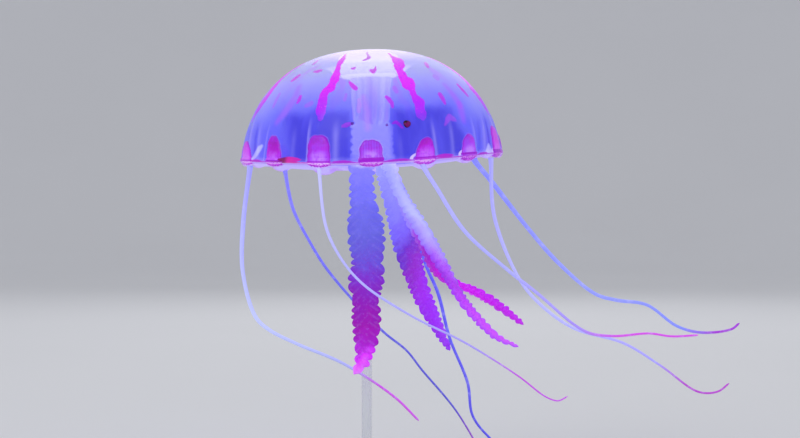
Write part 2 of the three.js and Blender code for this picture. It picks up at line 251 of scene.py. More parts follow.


# Strokes are runs of (angle, height, half width). They were not chosen by hand: points were picked
# on the photo, and a scratch program, which isn't kept, turned them into angles and heights. Most
# were then changed. The tables from here to GLINTS, the bead's place, FOLDS, and the first places
# and widths in LAPPETS and GAPS all came about in that way.
STREAK_LEFT = [
    (-21.2, 39.1, 0.4), (-19.4, 37.2, 0.9), (-19.1, 35.6, 1.05), (-19.2, 34.2, 0.85), (-18.7, 32.6, 1.05),
    (-18.1, 30.9, 1.4), (-18.1, 29.4, 1.7), (-18.7, 27.5, 1.2), (-19.1, 25.8, 1.7), (-21.2, 24.6, 1.4),
    (-21.9, 23.0, 1.5), (-21.7, 20.4, 1.8), (-21.7, 17.6, 1.9), (-21.3, 15.2, 1.1),
]
STREAK_RIGHT = [
    (20.8, 39.2, 0.15), (20.1, 37.6, 0.55), (21.0, 36.3, 1.1), (22.0, 34.9, 2.0), (21.4, 33.8, 2.1),
    (20.0, 32.7, 1.5), (19.6, 31.7, 1.15), (19.8, 30.5, 1.4), (20.2, 29.6, 1.7), (19.8, 28.2, 1.5),
    (21.5, 26.6, 2.4), (22.0, 25.8, 2.2), (22.5, 24.4, 1.2), (22.6, 22.6, 1.0), (22.7, 21.7, 1.1),
    (23.9, 20.4, 1.6), (24.6, 19.4, 1.9), (24.3, 18.1, 1.75), (23.9, 16.8, 1.85), (24.1, 15.3, 1.9),
    (24.6, 14.2, 1.2),
]
STREAK_SIDE_LEFT = [
    (-66.5, 37.0, 0.8), (-69.0, 33.5, 1.6), (-69.5, 29.5, 2.6), (-68.0, 25.5, 2.9), (-70.5, 21.5, 3.0),
    (-72.5, 18.5, 2.2), (-73.0, 15.8, 1.0),
]
STREAK_SIDE_RIGHT = [
    (68.0, 38.0, 1.1), (72.5, 34.0, 1.8), (76.0, 29.5, 2.6), (74.0, 25.0, 3.3), (75.5, 21.0, 3.5),
    (76.0, 18.0, 2.6), (75.5, 15.4, 1.2),
]
FRONT_STREAKS = [STREAK_LEFT, STREAK_RIGHT]
# The streaks at the sides, and the front's two turned round to the back by these many degrees.
SIDE_STREAKS = [STREAK_SIDE_LEFT, STREAK_SIDE_RIGHT]
SIDE_STREAKS += turned([STREAK_RIGHT], 101) + turned([STREAK_LEFT], 181)
SIDE_STREAKS += turned([STREAK_RIGHT], 180) + turned([STREAK_LEFT], -101)

MARKS = [
    [(-44.1, 35.7, 0.35), (-44.6, 36.7, 0.65), (-46.2, 37.7, 0.35)],
    [(-35.9, 20.8, 0.4), (-35.4, 22.0, 0.75), (-35.3, 23.3, 0.55)],
    [(-35.4, 32.4, 0.35), (-32.6, 32.5, 0.75), (-30.2, 32.8, 0.5)],
    [(-49.6, 29.5, 0.45), (-48.0, 30.6, 0.75), (-46.4, 31.8, 0.5)],
    [
        (-3.0, 35.9, 0.3), (-0.6, 36.3, 0.5), (1.6, 37.1, 0.75), (0.6, 38.5, 0.4), (-0.6, 39.2, 0.3),
        (0.4, 39.8, 0.3),
    ],
    [(-9.8, 32.8, 0.35), (-8.6, 32.7, 0.6), (-7.4, 33.0, 0.35)],
    [(2.2, 31.8, 0.55), (3.6, 31.2, 0.9), (4.8, 31.9, 0.6), (5.6, 33.4, 0.2)],
    [(-9.8, 28.0, 0.3), (-8.6, 26.9, 0.65), (-7.2, 25.9, 0.9), (-6.0, 25.2, 0.9), (-5.4, 24.9, 0.6)],
    [(8.9, 21.7, 0.6), (10.0, 20.9, 0.85), (11.2, 19.4, 0.75), (11.3, 18.0, 0.5)],
    [(45.0, 34.9, 0.6), (43.6, 34.1, 0.8), (42.4, 33.2, 0.6)],
    [(48.8, 39.9, 0.15), (54.8, 39.4, 0.25), (57.8, 38.6, 0.15)],
    [(37.5, 22.4, 0.8), (38.2, 20.9, 0.85), (38.4, 18.9, 0.5)],
    [(55.8, 26.6, 0.35), (57.2, 24.3, 0.6), (58.8, 21.8, 0.4)],
    [(10.5, 12.4, 0.4), (12.0, 12.9, 0.6), (13.3, 12.0, 0.6), (14.2, 11.1, 0.5), (15.2, 10.5, 0.3)],
    [(-11.2, 12.0, 0.5), (-9.4, 12.4, 0.9), (-7.8, 12.7, 0.7)],
    [(-38.8, 39.6, 0.15), (-33.2, 39.6, 0.2)],
]
FAINT_MARKS = [
    [(-52.6, 20.0, 0.5), (-53.0, 22.6, 0.7), (-53.0, 25.0, 0.5)],
    [(41.2, 29.3, 0.9), (42.4, 28.5, 0.9)],
    [(35.1, 11.2, 0.4), (36.8, 12.8, 0.8), (38.6, 14.2, 1.0), (40.4, 13.3, 0.9), (41.6, 12.6, 0.4)],
    [(-4.0, 21.0, 0.6), (-3.8, 18.9, 0.9), (-4.0, 16.8, 0.6)],
    [(-10.4, 23.2, 0.5), (-10.9, 21.2, 0.7)],
    [(-30.0, 19.7, 0.8), (-27.6, 20.5, 0.9)],
    [(13.7, 24.9, 0.9), (14.3, 23.5, 0.8)],
    [(47.9, 19.2, 0.9), (47.7, 17.9, 0.9)],
]
HAZE = [
    [(-45.4, 14.4, 1.0), (-42.4, 17.3, 1.6), (-40.2, 20.3, 1.8), (-38.4, 23.6, 1.5), (-39.8, 27.0, 1.0)],
    [(44.5, 26.0, 0.9), (46.5, 22.0, 1.5), (48.0, 18.4, 1.8), (46.8, 14.8, 1.5), (46.5, 12.6, 0.9)],
    [(-2.0, 22.0, 0.8), (-0.4, 17.0, 1.1), (-0.2, 11.0, 0.8)],
]
DOTS = [[(-7.0, 12.8, 0.55), (-6.5, 12.8, 0.55)], [(7.7, 12.0, 0.5), (8.2, 12.0, 0.5)]]
GLINTS = [
    [(-53.4, 5.6, 0.5), (-55.0, 4.6, 0.9), (-57.0, 2.7, 0.9), (-59.6, 0.6, 0.6)],
    [(61.8, 3.3, 0.3), (61.4, 1.8, 0.9), (60.5, 0.4, 1.4), (59.4, -0.8, 1.5)],
]
BEAD_ANGLE, BEAD_HEIGHT, BEAD_RADIUS = 16.8, 12.1, 1.35
BEAD_FLATNESS = 0.62


def scattered_marks(seed, count, low_angle, high_angle):
    """Small strokes like the front's, for the side that the photo doesn't show."""
    chance = np.random.default_rng(seed)
    marks = []
    for place in range(count):
        angle = lerp(low_angle, high_angle, (place + chance.uniform(0.2, 0.8)) / count)
        height = chance.uniform(12, 38)
        tilt, rise = chance.uniform(-2.4, 2.4), chance.uniform(0.6, 2.2)
        half = chance.uniform(0.45, 0.85)
        low, high = (angle - tilt, height - rise), (angle + tilt, height + rise)
        marks.append([(*low, half * 0.5), (angle, height, half), (*high, half * 0.5)])
    return marks


def surface_point(angle, height):
    radius, level = section(run_at(height), 0)
    return lean(place_round(radius, level + np.minimum(height, 0), angle))


def stroke_field(points, strokes, front=False):
    """How far inside the nearest stroke each point lies, in mm, and negative outside. The front's
    strokes are drawn as they look from the front, so depth counts for little there."""
    field = np.full(points.shape[:-1], FAR_OUTSIDE)
    weights = np.array([1, SEEN_DEPTH, 1]) if front else np.ones(3)
    for stroke in strokes:
        knots = np.array(stroke)
        share = np.linspace(0, 1, 7 * len(knots))
        angle, height, half = (spread(knots[:, column], share) for column in range(3))
        for centre, reach in zip(surface_point(angle, height), half):
            distance = np.linalg.norm((points - centre) * weights, axis=-1)
            np.maximum(field, reach - distance, out=field)
    return np.where(points[..., 1] > 0, FAR_OUTSIDE, field) if front else field


# A lappet's shift along the rim, half width, top height, taper and skew of its top, ridges, and how
# far its lip hangs; then how thick its foot band is, how pale the pad under it, how strong the
# white ring round that, and how violet its paint. Lappets are numbered from the front one, and the
# photo shows -3 to 3. Their first places and widths came from the program too.
LAPPET_PLAIN = {
    "shift": 0.0, "half": 4.1, "top": 8.0, "taper": 0.2, "skew": 0.0, "ridges": 0.3,
    "lip": 1.0, "foot": 0.4, "pale": 0.5, "ring": 0.5, "violet": 0.4,
}
LAPPETS = {
    -7: {"shift": 2.0, "half": 4.9, "lip": 2.0},
    -6: {"shift": 4.0, "half": 5.0, "lip": 1.5},
    -4: {"shift": -4.5},
    -3: {
        "shift": 0.2, "half": 6.2, "top": 7.6, "taper": 0.5, "skew": -3.3, "foot": 0, "pale": 0.9,
        "ring": 0, "violet": 0,
    },
    -2: {
        "shift": 1.1, "half": 4.3, "top": 9.3, "taper": 0.36, "skew": -1.7, "foot": 0.1,
        "pale": 0.6, "ring": 0, "violet": 0,
    },
    -1: {
        "shift": 1.4, "half": 4.4, "top": 9.1, "taper": 0.12, "skew": -0.6, "foot": 0, "pale": 0.9,
        "ring": 0, "violet": 0.5,
    },
    0: {
        "shift": 0.7, "half": 4.2, "top": 7.1, "taper": 0.05, "ridges": 1.0, "foot": 1, "ring": 0,
        "violet": 0.9,
    },
    1: {
        "shift": 0.6, "half": 4.2, "top": 7.2, "taper": 0.48, "skew": 1.6, "lip": 1.3, "foot": 0.2,
        "pale": 0.7, "ring": 1, "violet": 0,
    },
    2: {
        "shift": 0.6, "half": 4.1, "top": 7.6, "taper": 0.38, "skew": 1.7, "lip": 1.2, "foot": 0.45,
        "pale": 0.15, "ring": 1, "violet": 0.8,
    },
    3: {
        "shift": 2.6, "half": 4.9, "top": 10.4, "taper": 0.35, "skew": 1.0, "foot": 1, "pale": 0,
        "ring": 0.6, "violet": 0.1,
    },
    4: {"shift": 4.5},
    6: {"shift": -4.4, "half": 5.0, "lip": 1.4},
    7: {"shift": -2.4, "half": 4.9, "lip": 1.8},
}
# The painted line's thickness at the middle of each gap between lappets, that patch's shift and
# half width along the rim, and how crimson it is. Gap 0 is on the right of lappet 0.
GAPS = {
    -3: (0.4, 0.0, 4.6, 0.2), -2: (1.1, -1.0, 5.6, 1.0), -1: (0.4, 0.6, 4.2, 0.0), 0: (0.35, 0.4, 4.6, 0.0),
    1: (0.75, -1.2, 4.2, 0.15), 2: (0.4, -1.0, 3.4, 0.0),
}


def lappet_shape(number):
    sway = {"shift": 0.3 * math.sin(number), "half": 4.1 + 0.2 * math.sin(2.1 * number)}
    sway |= {"top": 8.0 + 0.7 * math.sin(1.7 * number), "skew": 0.5 * math.sin(2.9 * number)}
    return list((LAPPET_PLAIN | sway | LAPPETS.get(number, {})).values())


def gap_shape(number):
    return GAPS.get(number, (0.5 + 0.3 * math.sin(2.7 * number), 0.0, 4.6, 0.0))


def lappet_fields(degrees, height):
    """What the lappets and the gaps between them paint at each point, as named fields in mm."""
    number = np.round(degrees / LAPPET_TURN)
    shapes = np.array([lappet_shape(n) for n in range(-8, 9)])
    shift, half, top, taper, skew, ridged, lip_drop, foot_size, pale, ringed, violet = np.moveaxis(
        shapes[(number + 8).astype(int)], -1, 0
    )
    body = np.clip((height + 1.4) / (top + 1.4), 0, 1)
    plain_along = np.radians(degrees - number * LAPPET_TURN) * RIM_RADIUS - shift
    along = plain_along - skew * body**2
    half_here = half * (1 - taper * body**1.5)
    across = np.abs(along) / half_here
    high = np.clip((height - (top - 3.6)) / 3.6, 0, 2)
    tongue = (1 - (across**3.2 + high**2.4) ** (1 / 2.6)) * half
    tongue += 0.13 * np.sin(1.9 * height + 2.3 * number) + 0.1 * np.sin(2.3 * along + 1.1 * number)
    foot_height = FOOT_HEIGHT * smoothstep(-0.3, 0.5, foot_size)
    foot_half = 0.22 + 0.5 * foot_size
    foot = np.minimum(foot_half - np.abs(height - foot_height), half + 0.4 - np.abs(plain_along))
    ring = 0.36 - 2.4 * np.abs(np.hypot(plain_along / (half + 1.1), height / 2.3) - 1)
    ring -= 2 * smoothstep(-0.2, 0.6, plain_along / half)
    gap_number = np.floor(degrees / LAPPET_TURN)
    gaps = np.array([gap_shape(n) for n in range(-8, 9)])
    thick, gap_shift, gap_half, red = np.moveaxis(gaps[(gap_number + 8).astype(int)], -1, 0)
    gap = (np.radians(degrees - (gap_number + 0.5) * LAPPET_TURN) * RIM_RADIUS - gap_shift) / gap_half
    patch = thick * np.clip(1 - gap**2, 0, 1) - np.abs(height - LINE_HEIGHT - 0.85 * thick)
    return {
        "along": along,
        "tongue": tongue,
        "foot": foot,
        "lip": lip_drop * np.clip(1 - (plain_along / (half + 0.3)) ** 2, 0, 1),
        "patch": np.maximum(patch, 0.2 - np.abs(height - LINE_HEIGHT)),
        "ridged": ridged,
        "crimson": red * (1 - 0.35 * gap),
        "pale": pale,
        "violet": violet,
        "ring": np.where(ringed > 0, ring * ringed, -1.0),
    }


# Upright folds of the wall as (angle, half width in degrees, strength, height, slope in degrees a
# millimetre). They stand out or dip, and carry a painted highlight where they stand out and a
# painted shade where they dip. The back has the same ones.
FOLDS = [
    (-66.0, 1.6, 0.8, 20, -0.3), (-60.0, 1.3, -0.8, 17, -0.25), (-56.5, 1.4, 0.6, 17, -0.2),
    (-50.2, 0.5, 1.0, 16, 0.0), (-26.2, 0.45, 1.0, 17, 0.0), (-13.8, 1.5, 0.6, 16, 0.0),
    (-33.5, 1.2, 0.3, 14, 0.0), (28.4, 0.8, 0.7, 15, 0.0), (37.4, 1.0, 0.45, 16, 0.1),
    (51.4, 0.8, 0.8, 16, 0.15), (55.6, 1.2, -0.5, 15, 0.4), (59.5, 1.2, 0.7, 17, 0.4),
    (64.0, 1.2, -1.0, 17, 0.3), (72.0, 2.0, 0.8, 19, 0.3), (90.0, 2.0, 0.5, 16, 0.0),
    (13.0, 1.0, 0.2, 10, 0.0),
]


def fold_field(degrees, height):
    """The soft upright folds that stand beside the lappets and die out up the wall."""
    from_middle = folded(degrees)
    field = np.zeros_like(from_middle)
    for angle, half, weight, top, slope in FOLDS:
        offset = folded(from_middle - angle - slope * (height - 8))
        field += weight * np.exp(-((offset / half) ** 2)) * smoothstep(top, 0.5 * top, height)
    return field


# The deep blue panels, in degrees from the front or back and in height, and the column between them.
PANEL_HALF = 41.0
PANEL_TOP = 17.3
PANEL_BLUR = 1.2
COLUMN_HALF = 9.2
COLUMN_SHIFT = 1.0


def flank_field(degrees, height):
    """1 on the wall's left and right flanks, and 0 at its front and back and up on the crown. Where it
    is 1 the wall and pads are painted lighter: a painted sheen of the wall seen edge-on.
    """
    return smoothstep(43, 62, np.abs(folded(degrees))) * smoothstep(36, 24, height)


def panel_field(degrees, height):
    """How far inside the deep blue panels beside the column each point of the wall lies, in mm."""
    middle = folded(degrees)
    edge = PANEL_HALF + 5 * smoothstep(16, 3, height) * np.sign(middle) - 1.5 * smoothstep(10, 0, height)
    side = 0.85 * np.minimum(edge - np.abs(middle), 1.6 * (np.abs(middle - COLUMN_SHIFT) - COLUMN_HALF))
    top = PANEL_TOP + 0.6 * np.sin(middle / 4.5) + 0.4 * np.sin(middle / 2.1 + 1) - height
    side, top = (np.exp(-np.clip(reach, -9, 9) / PANEL_BLUR) for reach in (side, top))
    return -np.log(side + top) * PANEL_BLUR


COLUMNS = 600
# The profile of the crown's underside, as (radius, height), and the height that its paint is given.
ROOF = [
    (26.0, CROWN_UNDERSIDE + 3.3), (18.0, CROWN_UNDERSIDE + 3.6), (15.0, CROWN_UNDERSIDE + 2.4),
    (CROWN_BOSS_RADIUS, CROWN_UNDERSIDE), (9.0, CROWN_UNDERSIDE), (4.0, CROWN_UNDERSIDE),
]
ROOF_PAINT_HEIGHT = [37.0, 37.0, 41.0, 41.0, 41.0, 41.0]
# What a lappet's fields read where there is no lappet.
NO_LAPPET = {"tongue": -9.0, "foot": -5.0, "patch": -9.0, "ring": -1.0}


def bell_rings():
    """The angles round the bell, and its rings: down the outside, round the lip, and up the inside."""
    degrees = degrees_round(COLUMNS)
    top = run_at(9.5)
    outer = np.concatenate([np.linspace(BELL_RUN * 0.995, top, 84)[:-1], np.linspace(top, 0.3, 30)])
    lip_turn = np.radians(np.linspace(8, 172, 13))
    inner = np.concatenate([[0.6, 2, 4], np.linspace(7, run_at(CROWN_EDGE - 1), 16)])
    return degrees, outer, lip_turn, inner


def painted_strokes(points):
    """How far inside each kind of stroke the points of the outer face lie, in mm."""
    behind = {"mark": scattered_marks(11, 22, 66, 294), "faint": scattered_marks(12, 14, 70, 290)}
    behind["streak"] = SIDE_STREAKS
    before = {"mark": MARKS, "faint": FAINT_MARKS, "streak": FRONT_STREAKS, "dot": DOTS, "glint": GLINTS}
    fields = {name: stroke_field(points, strokes, front=True) for name, strokes in before.items()}
    for name, strokes in behind.items():
        fields[name] = np.maximum(fields[name], stroke_field(points, strokes))
    fields["haze"] = stroke_field(points, HAZE + turned(HAZE, 180))
    return fields


def relief(height, lappet, strokes, fold):
    """How far the outer face stands proud of the plain section: pads, ridges, paint and folds."""
    tongue = lappet["tongue"]
    bead = RIM_BEAD * np.exp(-(((height - 0.3) / 0.9) ** 2))
    raised = LAPPET_BULGE * smoothstep(-0.15, 0.75, tongue) + 0.12 * smoothstep(-0.2, 0.3, strokes["streak"])
    raised += 0.08 * smoothstep(-0.1, 0.4, strokes["mark"]) + 0.3 * fold * smoothstep(0.2, -0.6, tongue)
    ridge = 0.09 * lappet["ridged"] * np.cos(2 * math.pi * lappet["along"] / RIDGE_PITCH)
    ridge = ridge * smoothstep(0.5, 1.1, tongue)
    bead = bead * (1 - smoothstep(0, 0.6, tongue))
    proud = np.maximum(raised, bead) + ridge * smoothstep(1.8, 2.4, height)
    proud -= 0.2 * smoothstep(0.5, 0, np.abs(height - FOOT_HEIGHT - 0.8)) * smoothstep(0, 0.4, tongue)
    return proud - POLE_SINK * smoothstep(36, 41, height)


def make_bell():
    """The bell as one closed skin: the outer face, the lip round the rim, and the inside."""
    degrees, outer, lip_turn, inner = bell_rings()
    around, run = np.meshgrid(degrees, outer)
    radius, height = section(run, 0)
    strokes = painted_strokes(lean(place_round(radius, height, around)))
    lappet = lappet_fields(around, height)
    fold = fold_field(around, height)
    proud = relief(height, lappet, strokes, fold)
    faces = lean(place_round(*section(run, -proud), around))

    turn, _ = np.meshgrid(lip_turn, degrees, indexing="ij")
    depth = lerp(-proud[-1], WALL_THICKNESS, (1 - np.cos(turn)) / 2)
    lifted = RIM_LIFT * smoothstep(90, 112, degrees) * smoothstep(180, 166, degrees)
    lip = lappet["lip"][-1]
    drop = RIM_DROP + 0.1 + lip - lifted
    fall = 0.3 - drop * np.sin(turn)
    lip_around = np.broadcast_to(degrees, turn.shape)
    rim = lean(place_round(section(np.zeros_like(turn), depth)[0], fall, lip_around))

    wall_around, wall_run = np.meshgrid(degrees, inner)
    wall = lean(place_round(*section(wall_run, WALL_THICKNESS), wall_around))
    roof = np.array([lean(place_round(r, np.full(COLUMNS, h), degrees)) for r, h in ROOF])
    roof_height = np.broadcast_to(np.array(ROOF_PAINT_HEIGHT)[:, None], (len(ROOF), COLUMNS))
    wall_height = np.concatenate([section(wall_run, 0)[1], roof_height])

    def carried(on_face, on_rim, on_wall):
        on_rim = np.broadcast_to(on_rim, rim.shape[:2])
        on_wall = np.broadcast_to(on_wall, wall_height.shape)
        return np.concatenate([on_face, on_rim, on_wall])

    none = np.zeros_like(height)
    on_lip = lappet_fields(lip_around, fall)
    lens = np.where(lip > 0.08, (LENS_TOP - fall) / (LENS_TOP - 0.3 + drop), -1.0) * (turn < 2.2)
    fields = {name: carried(field, FAR_OUTSIDE, FAR_OUTSIDE) for name, field in strokes.items()}
    fields["glint"] = carried(strokes["glint"], stroke_field(rim, GLINTS, front=True), FAR_OUTSIDE)
    for name, outside in NO_LAPPET.items():
        fields[name] = carried(lappet[name], np.where(turn < 1.6, on_lip[name], outside), outside)
    for name in ("along", "ridged", "crimson", "pale", "violet"):
        fields[name] = carried(lappet[name], on_lip[name], 0.0)
    fields["height"] = carried(height, fall, wall_height)
    fields["lens"] = carried(none, lens, 0.0)
    fields["fold"] = carried(fold, 0.0, 0.0)
    wall_panel = panel_field(*np.broadcast_arrays(degrees, wall_height))
    fields["panel"] = carried(panel_field(around, height), -5.0, wall_panel)
    wall_flank = flank_field(degrees, wall_height)
    fields["flank"] = carried(flank_field(around, height), flank_field(lip_around, fall), wall_flank)
    fields["inside"] = carried(none, smoothstep(1.4, 2.2, turn), 1.0)

    pole, boss = (lean(np.array([0, 0, level])) for level in (BELL_HEIGHT - POLE_SINK, CROWN_UNDERSIDE))
    return skin("bell", np.concatenate([faces, rim, wall, roof]), pole, boss, **fields)


CORE_TOP = 41.4
CORE_BOTTOM = 31.8


def make_core(material):
    """The white plug moulded into the middle of the crown, which shows through it. Its white is a
    painted glow over a dark base, brighter on its lower part.
    """
    degrees = degrees_round(120)
    profile = [(4.0, 41.3), (8.0, 41.2), (10.0, 40.8), (11.2, 40.0), (11.6, 38.8), (11.4, 37.0)]
    profile += [(11.0, 35.0), (10.7, 33.4), (10.5, 32.2), (10.2, 31.9), (6.0, CORE_BOTTOM)]
    rings = np.array([lean(place_round(r, np.full(degrees.shape, h), degrees)) for r, h in profile])
    top, bottom = (lean(np.array([0, 0, h])) for h in (CORE_TOP, CORE_BOTTOM))
    level = np.array(profile)[:, 1:]
    return dress(hung("crown_core", rings, top, bottom, level=level), material)


# --- Sweeps: arms and tentacles ---------------------------------------------------------------------


def smooth_path(stops, step):
    """Points every `step` mm along the centripetal Catmull-Rom curve through the stops."""
    stops = np.array(stops, float)
    ends = np.vstack([2 * stops[0] - stops[1], stops, 2 * stops[-1] - stops[-2]])
    fine = []
    for p0, p1, p2, p3 in zip(ends[:-3], ends[1:-2], ends[2:-1], ends[3:]):
        knots = [0.0]
        for a, b in ((p0, p1), (p1, p2), (p2, p3)):
            knots.append(knots[-1] + max(np.linalg.norm(b - a) ** 0.5, 1e-4))
        t0, t1, t2, t3 = knots
        t = np.linspace(t1, t2, 60, endpoint=False)[:, None]
        a1 = (t1 - t) / (t1 - t0) * p0 + (t - t0) / (t1 - t0) * p1
        a2 = (t2 - t) / (t2 - t1) * p1 + (t - t1) / (t2 - t1) * p2
        a3 = (t3 - t) / (t3 - t2) * p2 + (t - t2) / (t3 - t2) * p3
        b1 = (t2 - t) / (t2 - t0) * a1 + (t - t0) / (t2 - t0) * a2
        b2 = (t3 - t) / (t3 - t1) * a2 + (t - t1) / (t3 - t1) * a3
        fine.append((t2 - t) / (t2 - t1) * b1 + (t - t1) / (t2 - t1) * b2)
    fine = np.vstack(fine + [stops[-1:]])
    run = np.concatenate([[0], np.cumsum(np.linalg.norm(np.diff(fine, axis=0), axis=1))])
    distance = np.linspace(0, run[-1], int(run[-1] / step) + 1)
    return distance, np.stack([np.interp(distance, run, fine[:, axis]) for axis in range(3)], axis=-1)


def frames(points, wanted):
    """Forward, across and out directions along a path, with across turned to what is wanted."""
    forward = np.gradient(points, axis=0)
    forward /= np.linalg.norm(forward, axis=1)[:, None]
    across = wanted - (wanted * forward).sum(axis=1)[:, None] * forward
    across /= np.linalg.norm(across, axis=1)[:, None]
    return forward, across, np.cross(forward, across)


def swept(path, across, out, side, lift):
    """Rings along a path, from how far their points lie across it and out of it."""
    return path[:, None] + across[:, None] * side[..., None] + out[:, None] * lift[..., None]


ARM_COLUMNS = 44
RIB_DEPTH = 0.02
# An arm's top end runs on up into the hub, so that it grows out of the hub's face.
LEAD_RISE = 5.0
LEAD_INWARD = 0.88
LEAD_NARROW = 0.7


def make_arm(name, spec, material):
    """A flat frilled ribbon: scalloped edges, a thick midrib, and ribs that run out to each scallop."""
    lead = np.array(spec["route"][0]) * [LEAD_INWARD, LEAD_INWARD, 1] + [0, 0, LEAD_RISE]
    distance, path = smooth_path([lead, *spec["route"]], 0.35)
    distance = distance - distance[np.argmin(np.linalg.norm(path - spec["route"][0], axis=1))]
    length = distance[-1]
    share = np.clip(distance / length, 0, 1)
    facing = np.radians(spread(spec["facing"], share))
    wanted = np.stack([np.cos(facing), np.sin(facing), np.zeros_like(facing)], axis=-1)
    forward, across, out = frames(path, wanted)
    half = spread(spec["half_widths"], share) * lerp(1, LEAD_NARROW, smoothstep(0, -LEAD_RISE, distance))
    turn = full_turn(ARM_COLUMNS)[None, :]
    side, face = np.cos(turn), np.sin(turn)
    s = distance[:, None]
    edge = np.where(side >= 0, 1.0, -1.0)
    pitch = spec["pitch"]
    warp = s + 0.95 * np.sin(s / 3.7 + 1.3 * edge + spec["seed"]) + 0.35 * np.sin(s / 1.9 - edge)
    place = warp / pitch + 0.21 * (1 + edge)
    phase = place % 1
    lobe = np.sin(math.pi * phase**1.25) ** 0.6 - 0.7
    lobe_size = 1.25 + 0.6 * np.sin(2.3 * np.floor(place) + 2 * edge + spec["seed"])
    end = smoothstep(-LEAD_RISE, 1.5 - LEAD_RISE, s) * smoothstep(length, length - 2.5, s)
    width = half[:, None] + spec["scallop"] * lobe_size * lobe * end
    tip = np.sqrt(np.clip(1 - smoothstep(length - 2.2, length + 0.1, s) ** 2, 0.03, 1))
    width = np.maximum(width, 0.55) * tip
    middle = np.minimum(1.4, 0.6 * width)
    thick = lerp(0.42, middle, (1 - side**2) ** 1.2)
    thick = np.minimum(thick, width)
    rib_phase = (s - 0.75 * np.abs(side) * width) / pitch * 2 * math.pi + spec["seed"]
    rib = RIB_DEPTH * np.cos(rib_phase) * smoothstep(0.08, 0.5, np.abs(side))
    rib = rib * smoothstep(1.0, 0.75, np.abs(side))
    groove = -0.08 * np.exp(-((side / 0.2) ** 2))
    ruffle = 0.22 * side * np.abs(side) * np.sin(math.pi * s / pitch + 1.7 * edge) * end
    lift = face * (thick + (rib + groove) * end * np.minimum(1, width / 3))
    lift = lift + ruffle * np.minimum(1, width / 4)
    rings = swept(path, across, out, side * width, lift)
    shown = {"run": share[:, None], "side": side, "rib": rib / RIB_DEPTH}
    piece = hung(name, rings, path[0], path[-1] + forward[-1] * 0.15, **shown)
    return dress(piece, material, [f"{name}_upper", f"{name}_lower"])


# The routes of the arms and tentacles are the solids' own, in the bell's place. They weren't chosen
# by hand: they came from points picked on the photo through a scratch program, which isn't kept,
# and were then partly changed by hand.
ARMS = {
    "arm_front": {
        "seed": 0.4,
        "pitch": 3.3,
        "scallop": 1.1,
        "facing": [0, -20],
        "half_widths": [5.8, 4.8, 4.7, 4.5, 5.0, 6.9, 6.9, 5.8, 7.0, 5.0, 5.6, 4.8, 3.3, 1.2],
        "route": [
            (-2.1, -4.6, 11.7), (-2.6, -4.7, 7), (-3.8, -6.5, -6.5), (-2.1, -8, -27), (-1.5, -9, -39),
            (-2.2, -10, -49), (-1.9, -11.5, -66), (-3.5, -12.5, -76), (-6.5, -13, -80.5),
        ],
        "colours": [
            (0.12, (210, 208, 255)), (0.155, (146, 142, 246)),
            (0.30, (120, 118, 228)), (0.44, (102, 98, 208)),
            (0.54, (104, 76, 202)), (0.61, (120, 42, 190)), (0.70, (134, 18, 172)), (0.80, (150, 8, 164)),
            (0.88, (162, 24, 194)), (0.93, (212, 48, 240)), (1.00, (228, 124, 250)),
        ],
        "slant": 0.0,
        "edge_shade": 0.15,
    },
    "arm_back": {
        "seed": 2.1,
        "pitch": 2.9,
        "scallop": 0.9,
        "facing": [15, 30],
        "half_widths": [2.0, 3.0, 3.8, 4.5, 5.2, 5.7, 5.4, 4.5, 4.1, 3.6, 2.6, 1.1],
        "route": [
            (1.2, 4.9, 11.7), (1.4, 5.3, 8), (4.2, 10.5, -1), (10, 17, -18.5), (14.4, 22.5, -36.5),
            (19, 26, -51), (25.5, 29, -65), (31, 30, -75.5),
        ],
        "colours": [
            (0.09, (206, 204, 255)), (0.14, (168, 170, 252)),
            (0.36, (144, 136, 252)), (0.45, (130, 108, 238)),
            (0.52, (114, 60, 202)), (0.60, (148, 46, 196)),
            (0.72, (168, 48, 234)), (0.85, (158, 46, 240)),
            (0.93, (158, 60, 234)), (1.00, (146, 46, 236)),
        ],
        "slant": 0.04,
        "edge_shade": 0.2,
    },
    "arm_right": {
        "seed": 3.3,
        "pitch": 2.7,
        "scallop": 0.8,
        "facing": [35, 25],
        "half_widths": [4.8, 3.3, 3.0, 3.0, 3.4, 3.6, 3.1, 2.4, 2.2, 2.1, 1.7, 0.8],
        "route": [
            (4.3, -2.4, 11.7), (4.6, -2.6, 8), (9.6, -4.5, -9.5), (18.4, -6.5, -25), (27, -7.5, -40),
            (34.5, -8.5, -53), (43, -9, -63), (48.5, -9.2, -67.5), (55.5, -9.5, -70.5),
        ],
        "colours": [
            (0.13, (218, 216, 255)), (0.18, (186, 190, 253)),
            (0.34, (196, 198, 254)), (0.43, (182, 168, 252)),
            (0.50, (178, 144, 250)), (0.57, (174, 88, 240)),
            (0.64, (168, 58, 222)), (0.70, (182, 62, 234)),
            (0.82, (196, 72, 244)), (1.00, (196, 90, 240)),
        ],
        "slant": -0.06,
        "edge_shade": 0.65,
    },
    "arm_left": {
        "seed": 5.2,
        "pitch": 2.7,
        "scallop": 0.8,
        "facing": [-35, -20],
        "half_widths": [3.0, 3.0, 2.8, 2.8, 2.9, 2.9, 3.0, 2.9, 2.8, 2.5, 2.0, 0.9],
        "route": [
            (4.2, 2.2, 11.7), (4.4, 2.3, 8), (6.2, 3.6, -2.5), (10.2, 4.4, -11), (15.4, 5.2, -23),
            (21.6, 6, -34.5), (25, 6.4, -41.5), (31, 6.9, -46.8),
            (39, 7.5, -50), (47, 8, -54.5), (59, 9, -63.5),
        ],
        "colours": [
            (0.09, (206, 204, 255)), (0.14, (158, 160, 252)),
            (0.35, (164, 140, 252)), (0.43, (172, 78, 224)),
            (0.50, (166, 34, 196)), (0.59, (190, 30, 208)),
            (0.72, (220, 30, 244)), (0.86, (198, 36, 232)),
            (1.00, (192, 40, 224)),
        ],
        "slant": 0.03,
        "edge_shade": 0.2,
    },
}

TENTACLE_SIDES = 14


